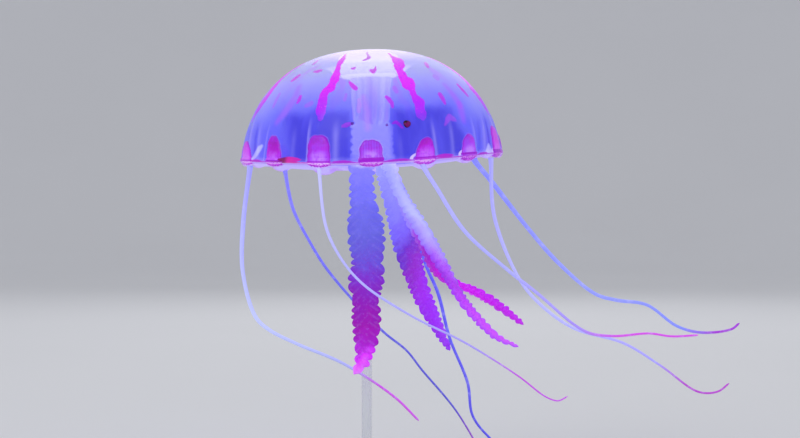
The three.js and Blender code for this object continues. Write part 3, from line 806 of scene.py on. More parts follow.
def make_tentacle(name, spec, material):
    """A round tentacle that widens where it leaves the rim and thins towards its tip."""
    root = lean(place_round(RIM_RADIUS - WALL_THICKNESS / 2, -spec["drop"], spec["angle"]))
    ahead = np.array(spec["route"][0]) - root
    below = root + ROOT_DROP * (0.75 * ahead / np.linalg.norm(ahead) - [0, 0, 0.3])
    distance, path = smooth_path([root, below, *spec["route"]], 0.9)
    length = distance[-1]
    forward, across, out = frames(path, np.broadcast_to([0.0, 1.0, 0.0], path.shape))
    taper = lerp(0.93 * TENTACLE_ROOT_RADIUS, TENTACLE_TIP_RADIUS, distance / length) * spec["girth"]
    girth = taper + ROOT_FLARE * np.exp(-distance / 2)
    girth *= np.sqrt(np.clip(1 - smoothstep(length - 0.9, length, distance) ** 2, 0.08, 1))
    girth *= 1 + 0.04 * np.sin(distance / 5.3 + spec["angle"]) * smoothstep(4, 12, distance)
    turn = full_turn(TENTACLE_SIDES)
    rings = swept(path, across, out, girth[:, None] * np.cos(turn), girth[:, None] * np.sin(turn))
    share = (distance / length)[:, None]
    piece = hung(name, rings, path[0], path[-1] + forward[-1] * 0.1, run=share)
    return dress(piece, material, [f"{name}_{part}" for part in ("upper", "middle", "tip")])


TENTACLES = {
    "tentacle_left": {
        "angle": -66, "drop": 1.9, "girth": 1.0, "pink_from": 0.80,
        "colours": ((166, 164, 255), (190, 198, 255), (172, 178, 236), (206, 92, 226)),
        "route": [
            (-47.5, -17, -23), (-48, -14.5, -42), (-43.5, -12, -59),
            (-38.5, -11, -64), (-28, -9.5, -69.5),
            (-11, -7, -77), (8.5, -4, -90), (18, -2, -99.5),
        ],
    },
    "tentacle_back_left": {
        "angle": -132.5, "drop": 1.9, "girth": 0.8, "pink_from": 0.90,
        "colours": ((142, 138, 250), (104, 104, 216), (98, 94, 206), (150, 70, 190)),
        "route": [
            (-33, 35.5, -18), (-26.5, 35.5, -31), (-18.5, 34.5, -43.5), (3.5, 30.5, -67.5),
            (13.5, 28.5, -75.5), (19.5, 27.5, -83), (33, 26.5, -99), (44.5, 27, -118),
        ],
    },
    "tentacle_front_left": {
        "angle": -21.4, "drop": 1.9, "girth": 0.64, "pink_from": 0.78,
        "colours": ((192, 192, 255), (168, 166, 238), (164, 148, 232), (190, 90, 218)),
        "route": [
            (-15.5, -41.5, -25), (-10.5, -39.5, -36), (-2.5, -38.5, -45.5),
            (15, -38.5, -57), (34, -38, -66.5),
            (53, -36, -78.5), (63.5, -33.5, -86.5), (68, -32.5, -88), (71.5, -31.5, -86.5),
        ],
    },
    "tentacle_front_right": {
        "angle": 22.5, "drop": 1.9, "girth": 0.88, "pink_from": 0.72,
        "colours": ((172, 170, 255), (170, 170, 250), (164, 138, 238), (206, 84, 222)),
        "route": [
            (23.8, -46, -11.5), (33.5, -46.5, -26.5), (48.5, -43.5, -40),
            (60, -40.5, -49), (73, -37, -60),
            (79, -36, -63.3), (88, -35, -64.4), (100.5, -34.5, -63.5),
            (108.5, -35, -64.5), (118, -35.5, -64),
        ],
    },
    "tentacle_right": {
        "angle": 65, "drop": 1.9, "girth": 0.85, "pink_from": 0.82,
        "colours": ((174, 172, 255), (182, 182, 255), (166, 158, 244), (178, 74, 198)),
        "route": [
            (46, -16.5, -21.5), (55, -15, -44), (62.5, -15.5, -53.5), (75.5, -16, -63), (94, -17, -68.5),
            (108, -16, -77), (122.5, -14, -87), (130, -13, -87), (134.5, -12, -84),
        ],
    },
    "tentacle_back_right": {
        "angle": 124, "drop": 0.3, "girth": 1.15, "pink_from": 0.88,
        "colours": ((142, 148, 252), (152, 160, 255), (132, 142, 244), (160, 60, 206)),
        "route": [
            (47.2, 26.5, -6.6), (62.5, 24, -26.5), (75, 25, -40.5), (89.5, 26.5, -52.5), (98, 27.5, -55),
            (110.5, 28, -57), (122.5, 27.5, -65.5), (132, 26.5, -68), (144, 25, -66.5), (147, 24.5, -64),
        ],
    },
    "tentacle_back": {
        "angle": 171, "drop": 0.6, "girth": 1.0, "pink_from": 0.92,
        "colours": ((116, 116, 240), (102, 98, 234), (92, 86, 224), (124, 74, 214)),
        "route": [
            (14, 36, -20.5), (17.5, 31, -29), (21.5, 26, -41.5), (26, 22.5, -52), (30.5, 18.5, -69.5),
            (37.5, 16, -87), (39.5, 15.5, -100), (46.5, 15, -109), (61.5, 15, -121),
        ],
    },
}


# --- Hub, bead and stand ------------------------------------------------------------------------------


def lathed(radius, height, turn, centre):
    """Rings about an upright axis at `centre`."""
    x, y, z = np.broadcast_arrays(radius * np.cos(turn), radius * np.sin(turn), height)
    return np.stack([x, y, z], axis=-1) + centre


def lathe(name, profile, columns, centre, shape=None, **fields):
    """Turns a profile of (radius, height) points about an upright axis at `centre`."""
    turn = full_turn(columns)
    radius, height = np.hsplit(np.array(profile, float), 2)
    wide = radius if shape is None else radius + shape(radius, height, turn)
    shown = {field: values(turn) for field, values in fields.items()}
    start, end = (centre + [0, 0, level] for level in (height[0, 0], height[-1, 0]))
    return skin(name, lathed(wide, height, turn, centre), start, end, **shown)


def make_hub(material):
    """The fluted column, closed flat underneath."""
    outside = []
    for height in np.linspace(HUB_TOP, HUB_BOTTOM + 1.2, 60):
        flare = 1.2 * smoothstep(27, HUB_TOP, height) + 0.25 * math.sin(height / 3.1)
        flare -= HUB_TAPER * smoothstep(16.5, HUB_BOTTOM, height)
        outside.append((HUB_RADIUS - 0.35 + flare * 0.8, height))
    profile = [(4.0, HUB_TOP)] + outside
    profile += [(HUB_RADIUS - HUB_TAPER, HUB_BOTTOM + 0.4), (HUB_RADIUS - HUB_TAPER - 0.9, HUB_BOTTOM)]
    profile += [(ROD_RADIUS + 0.8, HUB_BOTTOM)]

    def fluted(radius, height, turn):
        deep = smoothstep(5.5, 6.8, radius)
        uneven = 0.12 * np.sin(3 * turn + height / 6)
        return deep * (0.32 * np.cos(HUB_FLUTES * turn + 0.15 * np.sin(height / 4)) + uneven)

    place = BELL_PLACE + [HUB_X, 0, 0]
    shown = {
        "flute": lambda turn: np.cos(HUB_FLUTES * turn),
        "highlight_strip": lambda turn: np.exp(-(((turn - HUB_HIGHLIGHT_STRIP) / 0.17) ** 2)),
        "dusk": lambda turn: np.exp(-(((turn - HUB_DUSK) / 0.26) ** 2)),
    }
    column = lathe("hub_column", profile, 168, place, fluted, **shown)
    return dress(column, material, ["hub"])


def make_bead(material):
    """The round dark bead stuck on the wall's outer face."""
    centre = surface_point(BEAD_ANGLE, BEAD_HEIGHT) + BELL_PLACE
    inner = lean(place_round(*section(run_at(BEAD_HEIGHT), 1.0), BEAD_ANGLE)) + BELL_PLACE
    out = (centre - inner) / np.linalg.norm(centre - inner)
    right = np.cross([0, 0, 1.0], out)
    right /= np.linalg.norm(right)
    up = np.cross(out, right)
    rings = []
    for level in np.radians(np.linspace(80, -80, 17)):
        ring = []
        for turn in full_turn(32):
            wobble = 1 + 0.06 * math.sin(3 * turn + 0.6)
            flat = BEAD_RADIUS * math.cos(level) * wobble
            bulge = BEAD_FLATNESS * BEAD_RADIUS * math.sin(level)
            ring.append(centre + right * flat * math.cos(turn) + up * flat * math.sin(turn) + out * bulge)
        rings.append(ring)
    top = centre + out * BEAD_FLATNESS * BEAD_RADIUS
    bottom = centre - out * BEAD_FLATNESS * BEAD_RADIUS
    return dress(skin("bell_bead", np.array(rings), top, bottom), material)


def rounded(corner_out, corner_up, radius, steps=8):
    """Points of a rounded top outer edge, from the top face out and down."""
    turn = np.radians(np.linspace(90, 0, steps + 1))
    return [
        (corner_out - radius + radius * math.cos(a), corner_up - radius + radius * math.sin(a)) for a in turn
    ]


def make_stand(base_material, rod_material):
    """The round base, the collar on it and the clear rod, each turned to its own solid's size."""
    low, high = solid_box("stand_base")
    axis = np.array([(low.x + high.x) / 2, (low.y + high.y) / 2, 0])
    radius = (high.x - low.x) / 2
    socket = ROD_RADIUS + GAP
    profile = [(1.0, 3.0), (socket, 3.0), (socket, high.z - 0.25), (socket + 0.25, high.z)]
    profile += [(r, high.z) for r in np.linspace(socket + 1, radius - 2.2, 14)]
    profile += rounded(radius, high.z, 1.2)
    profile += [(radius, 4.0), (radius, 0.5), (radius - 0.5, low.z), (20.0, low.z)]
    base = lathe("stand_base_turned", profile, 160, axis)
    dress(base, base_material, ["stand_base"])

    low, high = solid_box("stand_collar")
    radius = (high.x - low.x) / 2
    profile = [(socket, low.z), (socket, high.z)]
    for share in np.linspace(0, 1, 14):
        out = lerp(socket + 1.5, radius - 0.2, share**2.2)
        profile.append((out, lerp(high.z, low.z + 1.5, share**0.75)))
    profile += [(radius, low.z + 1.1), (radius, low.z + 0.3), (radius - 0.3, low.z), (socket, low.z)]
    collar = ring_lathe("stand_collar_turned", profile, 96, axis)
    dress(collar, base_material, ["stand_collar"])

    low, high = solid_box("stand_rod")
    profile = [(ROD_RADIUS - 0.3, low.z)]
    profile += [(ROD_RADIUS, z) for z in np.linspace(low.z + 0.3, high.z - 0.3, 40)]
    profile += [(ROD_RADIUS - 0.3, high.z)]
    rod = lathe("stand_rod_turned", profile, 40, axis)
    dress(rod, rod_material, ["stand_rod"])


def ring_lathe(name, profile, columns, centre):
    """Turns a closed profile that doesn't touch the axis, such as a collar's."""
    radius, height = np.hsplit(np.array(profile, float), 2)
    points = lathed(radius, height, full_turn(columns), centre).reshape(-1, 3)
    index = np.arange(len(points)).reshape(-1, columns)
    down, right = np.roll(index, -1, axis=0), np.roll(index, -1, axis=1)
    across = np.roll(right, -1, axis=0)
    quads = np.stack([index, right, across, down], axis=-1).reshape(-1, 4)
    return new_piece(name, (points * MM).tolist(), quads.tolist())


# --- Materials ----------------------------------------------------------------------------------------


# The colours started as readings of small areas of the photo. A scratch program, which isn't kept,
# turned them into base colours for this room's light, and they were then changed against renders.


def linear(colour):
    """A colour of 0 to 255 a channel, as shown on a screen, in Blender's linear units."""
    def channel(value):
        value /= 255
        return value / 12.92 if value <= 0.04045 else ((value + 0.055) / 1.055) ** 2.4
    return (*(channel(value) for value in colour), 1.0)


class Look:
    """A material with one Principled shader, and short calls that add nodes to it."""

    def __init__(self, name):
        self.material = bpy.data.materials.new(name)
        self.material.use_nodes = True
        self.tree = self.material.node_tree
        self.shader = self.tree.nodes["Principled BSDF"]

    def node(self, kind, **settings):
        made = self.tree.nodes.new(kind)
        for key, value in settings.items():
            setattr(made, key, value)
        return made

    def feed(self, socket, value):
        if isinstance(value, bpy.types.NodeSocket):
            self.tree.links.new(value, socket)
        else:
            socket.default_value = value

    def set(self, **values):
        for key, value in values.items():
            self.feed(self.shader.inputs[key.replace("_", " ")], value)

    def math(self, operation, a, b=0.0, clamp=False):
        made = self.node("ShaderNodeMath", operation=operation, use_clamp=clamp)
        self.feed(made.inputs[0], a)
        self.feed(made.inputs[1], b)
        return made.outputs[0]

    def plus(self, a, b):
        return self.math("ADD", a, b)

    def minus(self, a, b, clamp=False):
        return self.math("SUBTRACT", a, b, clamp)

    def times(self, a, b, clamp=False):
        return self.math("MULTIPLY", a, b, clamp)

    def most(self, first, *others):
        for other in others:
            first = self.math("MAXIMUM", first, other)
        return first

    def field(self, name):
        return self.node("ShaderNodeAttribute", attribute_name=name).outputs["Fac"]

    def step(self, value, low, high):
        made = self.node("ShaderNodeMapRange", interpolation_type="SMOOTHSTEP")
        for key, part in zip((0, 1, 2), (value, low, high)):
            self.feed(made.inputs[key], part)
        return made.outputs[0]

    def mix(self, share, a, b):
        made = self.node("ShaderNodeMix", data_type="RGBA")
        self.feed(made.inputs[0], share)
        self.feed(made.inputs[6], a if isinstance(a, bpy.types.NodeSocket) else linear(a))
        self.feed(made.inputs[7], b if isinstance(b, bpy.types.NodeSocket) else linear(b))
        return made.outputs[2]

    def paint(self, under, mask, amount, over):
        """Lays a paint over what is under it, where the mask is, at an amount of 0 to 1."""
        return self.mix(self.times(mask, amount), under, over)

    def layers(self, under, paints):
        for mask, amount, over in paints:
            under = self.paint(under, mask, amount, over)
        return under

    def ramp(self, value, stops):
        made = self.node("ShaderNodeValToRGB")
        self.feed(made.inputs[0], value)
        elements = made.color_ramp.elements
        while len(elements) > 1:
            elements.remove(elements[-1])
        elements[0].position, elements[0].color = stops[0][0], linear(stops[0][1])
        for place, colour in stops[1:]:
            elements.new(place).color = linear(colour)
        return made.outputs[0]

    def place(self, scale, stretch=(1, 1, 1)):
        """The place on the piece, in steps of `scale` mm, drawn out by `stretch` along the axes."""
        mapping = self.node("ShaderNodeMapping")
        self.feed(mapping.inputs["Vector"], self.node("ShaderNodeTexCoord").outputs["Object"])
        mapping.inputs["Scale"].default_value = [1 / (MM * scale * part) for part in stretch]
        return mapping.outputs[0]

    def noise(self, scale, detail=2.0, stretch=(1, 1, 1), rough=0.5):
        """Noise of 0 to 1 whose grain is `scale` mm, drawn out by `stretch` along the axes."""
        made = self.node("ShaderNodeTexNoise")
        self.feed(made.inputs["Vector"], self.place(scale, stretch))
        made.inputs["Scale"].default_value = 1
        made.inputs["Detail"].default_value = detail
        made.inputs["Roughness"].default_value = rough
        return made.outputs["Fac"]

    def sway(self, scale, detail, reach):
        """Noise that strays to both sides of 0, over `reach` in all."""
        return self.times(self.minus(self.noise(scale, detail), 0.5), reach)

    def spots(self, scale, size):
        """1 inside round spots about `scale` mm apart, and 0 between them."""
        made = self.node("ShaderNodeTexVoronoi")
        self.feed(made.inputs["Vector"], self.place(scale))
        made.inputs["Scale"].default_value = 1
        return self.step(made.outputs["Distance"], size, size * 0.5)

    def bump(self, height, depth):
        made = self.node("ShaderNodeBump")
        made.inputs["Strength"].default_value = 1.0
        made.inputs["Distance"].default_value = depth * MM
        self.feed(made.inputs["Height"], height)
        self.feed(self.shader.inputs["Normal"], made.outputs[0])

    def glow(self, colour, strength):
        self.feed(self.shader.inputs["Emission Color"], colour)
        self.shader.inputs["Emission Strength"].default_value = strength


def blotchy(look, field, amount, scale=1.6, soft=0.16):
    """A painted patch's mask from its field, with the uneven edge of hand-laid paint."""
    wobble = look.sway(scale, 2, amount)
    return look.step(look.plus(look.field(field), wobble), -soft, soft)


def wall_paint(look, height, fold, panel):
    """The bare wall: paler up the dome, with deep blue panels, flanks painted lighter as a painted
    sheen, and a painted highlight and painted shade along the upright folds low down.
    """
    level = look.math("DIVIDE", look.plus(height, look.sway(16, 3, 4.0)), BELL_HEIGHT)
    colour = look.ramp(level, [
        (0.00, (92, 88, 234)), (0.40, (106, 106, 240)), (0.47, (120, 120, 243)), (0.52, (132, 130, 242)),
        (0.58, (146, 142, 242)), (0.67, (162, 158, 243)), (0.75, (170, 172, 242)), (0.83, (178, 182, 241)),
        (0.91, (196, 192, 241)), (0.97, (218, 206, 247)), (1.00, (228, 212, 248)),
    ])
    # The flanks take a lighter ramp: a painted sheen, the look of the wall seen edge-on.
    flank_sheen_colour = look.ramp(level, [
        (0.00, (118, 114, 238)), (0.28, (112, 110, 238)), (0.42, (142, 144, 240)), (0.60, (160, 158, 242)),
        (0.80, (182, 172, 244)), (1.00, (196, 186, 244)),
    ])
    colour = look.paint(colour, look.field("flank"), 0.9, flank_sheen_colour)
    streaky = look.step(look.noise(5, 2, stretch=(1, 1, 9)), 0.42, 0.72)
    colour = look.mix(panel, colour, look.paint((70, 64, 214), streaky, 0.4, (96, 92, 241)))
    # A painted highlight where the folds stand out, and a painted shade where they dip.
    colour = look.mix(look.times(fold, 0.75, clamp=True), colour, (158, 150, 250))
    return look.mix(look.times(fold, -0.8, clamp=True), colour, (44, 38, 206))


def mark_paint(look, level):
    return look.ramp(level, [
        (0.28, (136, 20, 216)), (0.45, (176, 44, 228)), (0.64, (204, 30, 222)), (0.80, (196, 82, 218)),
        (0.92, (184, 92, 212)),
    ])


def streak_paint(look, level):
    paint = look.ramp(level, [
        (0.32, (160, 24, 246)), (0.48, (184, 22, 246)), (0.62, (222, 12, 246)), (0.78, (222, 26, 238)),
        (0.94, (214, 84, 228)),
    ])
    paint = look.mix(look.step(look.noise(1.4, 2), 0.55, 0.85), paint, (160, 20, 240))
    return look.mix(look.step(look.noise(0.9, 1), 0.6, 0.8), paint, (236, 60, 250))


def pad_paint(look, height, tongue):
    """A lappet's pad: mottled, striped where it is ridged, pale low down with a painted highlight in its
    middle, painted lighter on the flanks as a painted sheen, and dark at its edge.
    """
    stripes = look.math("SINE", look.times(look.field("along"), 2 * math.pi / RIDGE_PITCH))
    stripes = look.times(look.plus(stripes, 1.0), look.field("ridged"))
    paint = look.ramp(look.plus(look.math("DIVIDE", height, 9.0), look.sway(4.5, 2, 0.9)), [
        (0.05, (196, 92, 252)), (0.22, (188, 56, 248)), (0.42, (182, 16, 216)), (0.62, (166, 0, 186)),
        (0.82, (156, 0, 180)), (1.00, (160, 22, 206)),
    ])
    paint = look.mix(look.step(look.noise(1.3, 2), 0.5, 0.75), paint, (172, 14, 214))
    violet = look.plus(0.45, look.times(look.step(look.noise(3.2, 2), 0.4, 0.58), 0.4))
    paint = look.paint(paint, look.field("violet"), violet, (150, 80, 254))
    # On the flanks the pad is painted pinker and lighter: the same painted sheen as the wall's.
    paint = look.paint(paint, look.field("flank"), 0.6, (226, 74, 250))
    paint = look.paint(paint, stripes, 0.24, (138, 0, 190))
    # A soft pale spot low in the pad's middle: a painted highlight on its bulge.
    bloom_highlight = look.times(look.step(height, 4.4, 2.0), look.step(tongue, 0.8, 3.4))
    bloom_highlight = look.times(bloom_highlight, look.step(look.noise(1.6, 2), 0.25, 0.6))
    bloom_highlight = look.times(bloom_highlight, look.plus(0.2, look.times(look.field("violet"), 0.3)))
    paint = look.mix(bloom_highlight, paint, (216, 166, 255))
    paint = look.paint(paint, look.minus(1.0, look.step(tongue, 0.3, 2.2)), 0.4, (160, 12, 200))
    return look.paint(paint, look.minus(1.0, look.step(tongue, 0.2, 0.6)), 0.75, (136, 4, 182))


def patch_paint(look):
    """The patch on the rim between two lappets, which in one gap is crimson and dark at one end."""
    red = look.times(look.field("crimson"), 0.9, clamp=True)
    paint = look.mix(red, (168, 16, 204), (214, 20, 150))
    return look.mix(look.step(look.field("crimson"), 1.02, 1.16), paint, (126, 0, 66))


def lens_paint(look):
    """The lens-shaped foot under a pad: uneven bands under the pale ones, and dark under the rest."""
    paint = look.ramp(look.plus(look.field("lens"), look.sway(0.8, 2, 0.9)), [
        (0.00, (196, 80, 232)), (0.18, (226, 180, 250)), (0.32, (230, 196, 252)), (0.44, (190, 50, 222)),
        (0.56, (212, 110, 240)), (0.68, (156, 10, 190)), (0.80, (186, 60, 222)), (0.90, (214, 186, 252)),
        (1.00, (212, 190, 252)),
    ])
    dark = look.mix(look.step(look.noise(0.7, 2), 0.4, 0.6), (150, 6, 190), (196, 70, 230))
    return look.mix(look.plus(0.15, look.times(look.field("pale"), 0.85)), dark, paint)


def wall_alpha(look, height, inside, fold, panel, dense):
    """How opaque the wall is: most at the pole and under paint, least on the inside of the crown."""
    alpha = look.plus(0.57, look.times(look.step(height, 14, 20), 0.04))
    alpha = look.minus(alpha, look.times(look.step(height, 31, 34), 0.08))
    alpha = look.plus(alpha, look.times(look.step(height, 37, 41.8), 0.38))
    clear = look.times(inside, look.times(look.step(height, 30, 33), look.step(height, 38, 37)))
    alpha = look.minus(alpha, look.times(clear, 0.34))
    for mask, more in ((look.field("flank"), 0.18), (fold, 0.15), (panel, 0.27)):
        alpha = look.plus(alpha, look.times(mask, more))
    alpha = look.minus(alpha, look.times(inside, 0.1), clamp=True)
    return look.most(alpha, look.times(dense, 0.97))


def bell_look():
    look = Look("bell_silicone")
    height, inside, fold, tongue = (look.field(name) for name in ("height", "inside", "fold", "tongue"))
    panel = look.step(look.plus(look.field("panel"), look.sway(4.5, 3, 3.0)), -2.8, 2.4)
    level = look.math("DIVIDE", height, BELL_HEIGHT)
    mark, dot = blotchy(look, "mark", 0.3), blotchy(look, "dot", 0.1)
    streak = blotchy(look, "streak", 1.1, scale=2.4)
    streak_amount = look.plus(0.5, look.times(look.step(height, 13.5, 18.5), 0.45))
    rim = look.step(height, 0.4, -0.2)
    pad = look.step(tongue, -0.05, 0.15)
    foot = look.step(look.field("foot"), -0.1, 0.18)
    patch = blotchy(look, "patch", 0.3, soft=0.15)
    lens = look.step(look.field("lens"), 0.02, 0.1)
    lip = look.times(inside, look.step(height, 2.0, 0.9))
    lip_paint = look.mix(look.step(look.noise(6, 2), 0.5, 0.66), (218, 206, 255), (208, 168, 250))
    # The paints in the order in which they are laid, each as its mask, amount and colour.
    first = [
        (look.step(look.field("haze"), -1.4, 1.2), 0.7, (172, 96, 244)),
        (blotchy(look, "faint", 0.7, soft=0.35), 0.5, (186, 70, 236)),
        (mark, 0.88, mark_paint(look, level)),
    ]
    then = [
        (streak, streak_amount, streak_paint(look, level)),
        (look.step(look.field("glint"), -0.5, 0.4), 0.9, (206, 206, 255)),
        (look.step(look.field("ring"), -0.05, 0.2), 0.9, (222, 206, 255)),
        (rim, 0.85, (198, 166, 246)),
        (look.step(tongue, -0.6, -0.1), 0.4, (180, 110, 250)),
        (pad, 0.97, pad_paint(look, height, tongue)),
        (foot, 0.96, (152, 0, 198)),
        (patch, 0.92, patch_paint(look)),
        (lens, 0.95, lens_paint(look)),
        (lip, 0.85, lip_paint),
        (look.times(inside, look.step(height, 35, 36.5)), 0.85, (222, 214, 252)),
    ]
    colour = look.layers(wall_paint(look, height, fold, panel), first)
    colour = look.layers(look.mix(dot, colour, (84, 0, 150)), then)
    dense = look.most(look.most(streak, mark), look.most(pad, patch))
    dense = look.most(dense, look.most(lens, look.most(rim, lip)))
    dense = look.most(dense, look.most(foot, dot))
    alpha = wall_alpha(look, height, inside, fold, panel, dense)
    look.set(Base_Color=colour, Alpha=alpha, Roughness=0.3, IOR=1.42, Specular_IOR_Level=0.25)
    look.set(Coat_Weight=0.08, Coat_Roughness=0.12)
    look.set(Sheen_Weight=0.14, Sheen_Roughness=0.35, Sheen_Tint=linear((170, 160, 255)))
    # A faint painted glow in the wall's own colours, and a white painted glow on the inside under the pole.
    boss = look.times(inside, look.step(height, 38, 40))
    look.glow(look.mix(boss, colour, (330, 322, 350)), 0.35)
    look.bump(look.plus(look.times(look.noise(0.7, 2), 0.5), look.noise(4, 1)), 0.12)
    return look.material


def core_look():
    look = Look("glowing_white_silicone")
    # A dark base under a strong painted glow, brighter on the lower part, so that the plug looks evenly
    # white whatever the light.
    colour = look.mix(look.step(look.noise(5, 2), 0.35, 0.65), (96, 94, 116), (104, 98, 118))
    look.set(Base_Color=colour, Roughness=0.6, IOR=1.42, Specular_IOR_Level=0.1)
    low = look.step(look.field("level"), 40, 34)
    look.glow(look.mix(low, (246, 232, 255), (284, 282, 312)), 1.15)
    return look.material


def hub_look():
    look = Look("hub_silicone")
    streaky = look.step(look.noise(3, 2, stretch=(1, 1, 8)), 0.35, 0.65)
    colour = look.layers(look.mix(streaky, (196, 194, 255), (222, 222, 255)), [
        (look.step(look.noise(4, 2, stretch=(1, 1, 6)), 0.5, 0.66), 0.6, (204, 140, 250)),
        # Painted shade in the flutes' hollows.
        (look.step(look.field("flute"), 0.2, -1.0), 0.5, (146, 132, 248)),
        # A painted highlight strip down one side of the column.
        (look.field("highlight_strip"), 0.8, (232, 232, 255)),
        (look.field("dusk"), 0.5, (160, 96, 244)),
    ])
    look.set(Base_Color=colour, Roughness=0.35, IOR=1.42)
    # A strong painted glow in the column's own colours, which keeps it evenly lit.
    look.glow(colour, 0.95)
    look.bump(look.noise(1.2, 2), 0.1)
    return look.material


def arm_look(name, spec):
    look = Look(name)
    wander = look.sway(4.5, 3, 0.14)
    slant = look.times(look.field("side"), spec["slant"])
    share = look.plus(look.field("run"), look.plus(wander, slant))
    colour = look.ramp(share, spec["colours"])
    edge = look.step(look.math("ABSOLUTE", look.field("side")), 0.2, 0.95)
    edge = look.times(edge, look.step(look.field("run"), 0.12, 0.2))
    deeper = [(place, (0.8 * r, 0.78 * g, 0.96 * b)) for place, (r, g, b) in spec["colours"]]
    speckle_here = look.times(look.step(share, 0.42, 0.58), look.step(share, 0.98, 0.88))
    colour = look.layers(colour, [
        (edge, spec["edge_shade"], look.ramp(share, deeper)),
        (look.spots(0.75, 0.42), look.times(speckle_here, 0.35), (132, 20, 170)),
        # Rib crests painted a little lighter: a painted highlight.
        (look.step(look.field("rib"), 0.2, 1.0), 0.04, (206, 196, 255)),
        (look.step(look.noise(1.1, 3), 0.5, 0.75), 0.1, (180, 150, 255)),
    ])
    look.set(Base_Color=colour, Roughness=0.42, IOR=1.42, Specular_IOR_Level=0.3)
    look.set(Sheen_Weight=0.1, Sheen_Roughness=0.4, Sheen_Tint=linear((200, 180, 255)))
    # A painted glow in the arm's own colours, whiter and brighter at its top inside the bell.
    hidden_glow = look.step(look.field("run"), 0.14, 0.1)
    look.glow(look.mix(hidden_glow, colour, (276, 270, 300)), 0.45)
    look.bump(look.noise(0.8, 3), 0.16)
    return look.material


def tentacle_look(name, spec):
    look = Look(name)
    start, middle, late, tip = spec["colours"]
    pink = spec["pink_from"]
    share = look.plus(look.field("run"), look.sway(5, 2, 0.05))
    stops = [(0.02, start), (pink * 0.55, middle), (pink - 0.06, late), (pink + 0.05, tip), (1, tip)]
    colour = look.ramp(share, stops)
    colour = look.paint(colour, look.step(look.noise(2.5, 2), 0.5, 0.8), 0.3, (200, 200, 255))
    look.set(Base_Color=colour, Roughness=0.32, IOR=1.42, Specular_IOR_Level=0.35)
    # A painted glow in the tentacle's own colours.
    look.glow(colour, 0.4)
    look.bump(look.noise(0.7, 2), 0.05)
    return look.material


def bead_look():
    look = Look("dark_bead")
    colour = look.mix(look.step(look.noise(2.2, 1), 0.46, 0.58), (44, 0, 30), (132, 2, 108))
    look.set(Base_Color=colour, Roughness=0.3, IOR=1.42, Specular_IOR_Level=0.2, Coat_Weight=0.15)
    look.bump(look.noise(0.5, 1), 0.05)
    return look.material


def base_look():
    look = Look("dark_acrylic")
    colour = look.mix(look.noise(20, 4), (30, 31, 40), (38, 39, 50))
    look.set(Base_Color=colour, IOR=1.49, Coat_Weight=0.5, Coat_Roughness=0.04)
    scuffs = look.step(look.noise(6, 6, rough=0.7), 0.5, 0.75)
    look.set(Roughness=look.plus(0.1, look.times(scuffs, 0.12)))
    return look.material


def rod_look():
    look = Look("clear_acrylic")
    colour = look.mix(look.noise(8, 2), (226, 232, 240), (238, 242, 248))
    alpha = look.plus(0.34, look.times(look.noise(10, 2), 0.08))
    look.set(Base_Color=colour, Alpha=alpha, Roughness=0.06, IOR=1.49, Coat_Weight=0.8, Coat_Roughness=0.03)
    return look.material


# --- Room, lights and camera ----------------------------------------------------------------------------

FLOOR_RADIUS = 2.6
SWEEP_RADIUS = 1.6
CAMERA_PLACE = (0.0128, -0.5515, 0.112)
LENS = 64.43
SENSOR = 36.0


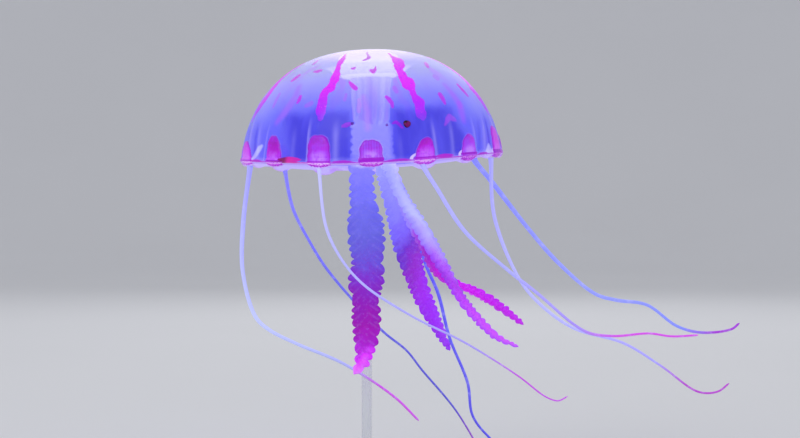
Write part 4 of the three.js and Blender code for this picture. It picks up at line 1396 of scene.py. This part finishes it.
def make_stage():
    """A plain pale floor whose far edge sweeps up all round, so that no horizon shows."""
    profile = [(radius, 0.0) for radius in (0.3, 0.8, 1.4, 2.0, FLOOR_RADIUS)]
    for turn in np.radians(np.linspace(6, 90, 15)):
        rise = SWEEP_RADIUS * (1 - math.cos(turn))
        profile.append((FLOOR_RADIUS + SWEEP_RADIUS * math.sin(turn), rise))
    columns = 96
    points = [(0.0, 0.0, 0.0)]
    for radius, height in profile:
        points += [(radius * math.cos(a), radius * math.sin(a), height) for a in full_turn(columns)]
    faces = [(0, 1 + side, 1 + (side + 1) % columns) for side in range(columns)]
    for row in range(len(profile) - 1):
        for side in range(columns):
            here, beside = 1 + row * columns + side, 1 + row * columns + (side + 1) % columns
            faces.append((here, here + columns, beside + columns, beside))
    floor = new_piece("floor", points, faces)
    look = Look("pale_floor")
    colour = look.mix(look.noise(400, 2), (232, 233, 237), (236, 237, 241))
    look.set(Base_Color=colour, Roughness=0.9)
    floor.data.materials.append(look.material)


def add_light(name, place, power, size, target):
    light = bpy.data.lights.new(name, "AREA")
    light.energy = power
    light.shape = "DISK"
    light.size = size
    lamp = bpy.data.objects.new(name, light)
    lamp.location = place
    lamp.rotation_euler = (Vector(target) - Vector(place)).to_track_quat("-Z", "Y").to_euler()
    bpy.context.scene.collection.objects.link(lamp)


def make_lights():
    scene = bpy.context.scene
    scene.world = bpy.data.worlds.new("studio")
    scene.world.use_nodes = True
    background = scene.world.node_tree.nodes["Background"]
    background.inputs["Color"].default_value = (0.95, 0.96, 1.0, 1.0)
    background.inputs["Strength"].default_value = 0.55
    middle = (0.02, 0, 0.12)
    add_light("key", (-0.7, -1.0, 1.1), 5.5, 0.9, middle)
    add_light("fill", (1.2, -0.8, 0.6), 2.4, 1.2, middle)
    add_light("back", (0.1, 1.2, 0.9), 2.5, 1.0, middle)


def make_camera():
    camera = bpy.data.cameras.new("camera")
    camera.lens = LENS
    camera.sensor_width = SENSOR
    camera.clip_start, camera.clip_end = 0.01, 50
    view = bpy.data.objects.new("camera", camera)
    view.location = CAMERA_PLACE
    view.rotation_euler = (math.pi / 2, 0, 0)
    bpy.context.scene.collection.objects.link(view)
    bpy.context.scene.camera = view
    bpy.context.scene.view_settings.view_transform = "Standard"


# --- Putting it together --------------------------------------------------------------------------------

make_camera()
make_stage()
make_lights()

bell = make_bell()
bell.data.transform(Matrix.Translation(Vector(BELL_PLACE * MM)))
walls = [f"bell_wall_{number}" for number in range(1, 5)]
lappets = [f"lappet_{number:02d}" for number in range(1, LAPPET_COUNT + 1)]
dress(bell, bell_look(), ["bell_crown", *walls, *lappets])
make_core(core_look())
make_hub(hub_look())
make_bead(bead_look())
for arm, arm_spec in ARMS.items():
    make_arm(arm, arm_spec, arm_look(f"{arm}_silicone", arm_spec))
for tentacle, tentacle_spec in TENTACLES.items():
    make_tentacle(tentacle, tentacle_spec, tentacle_look(f"{tentacle}_silicone", tentacle_spec))
make_stand(base_look(), rod_look())
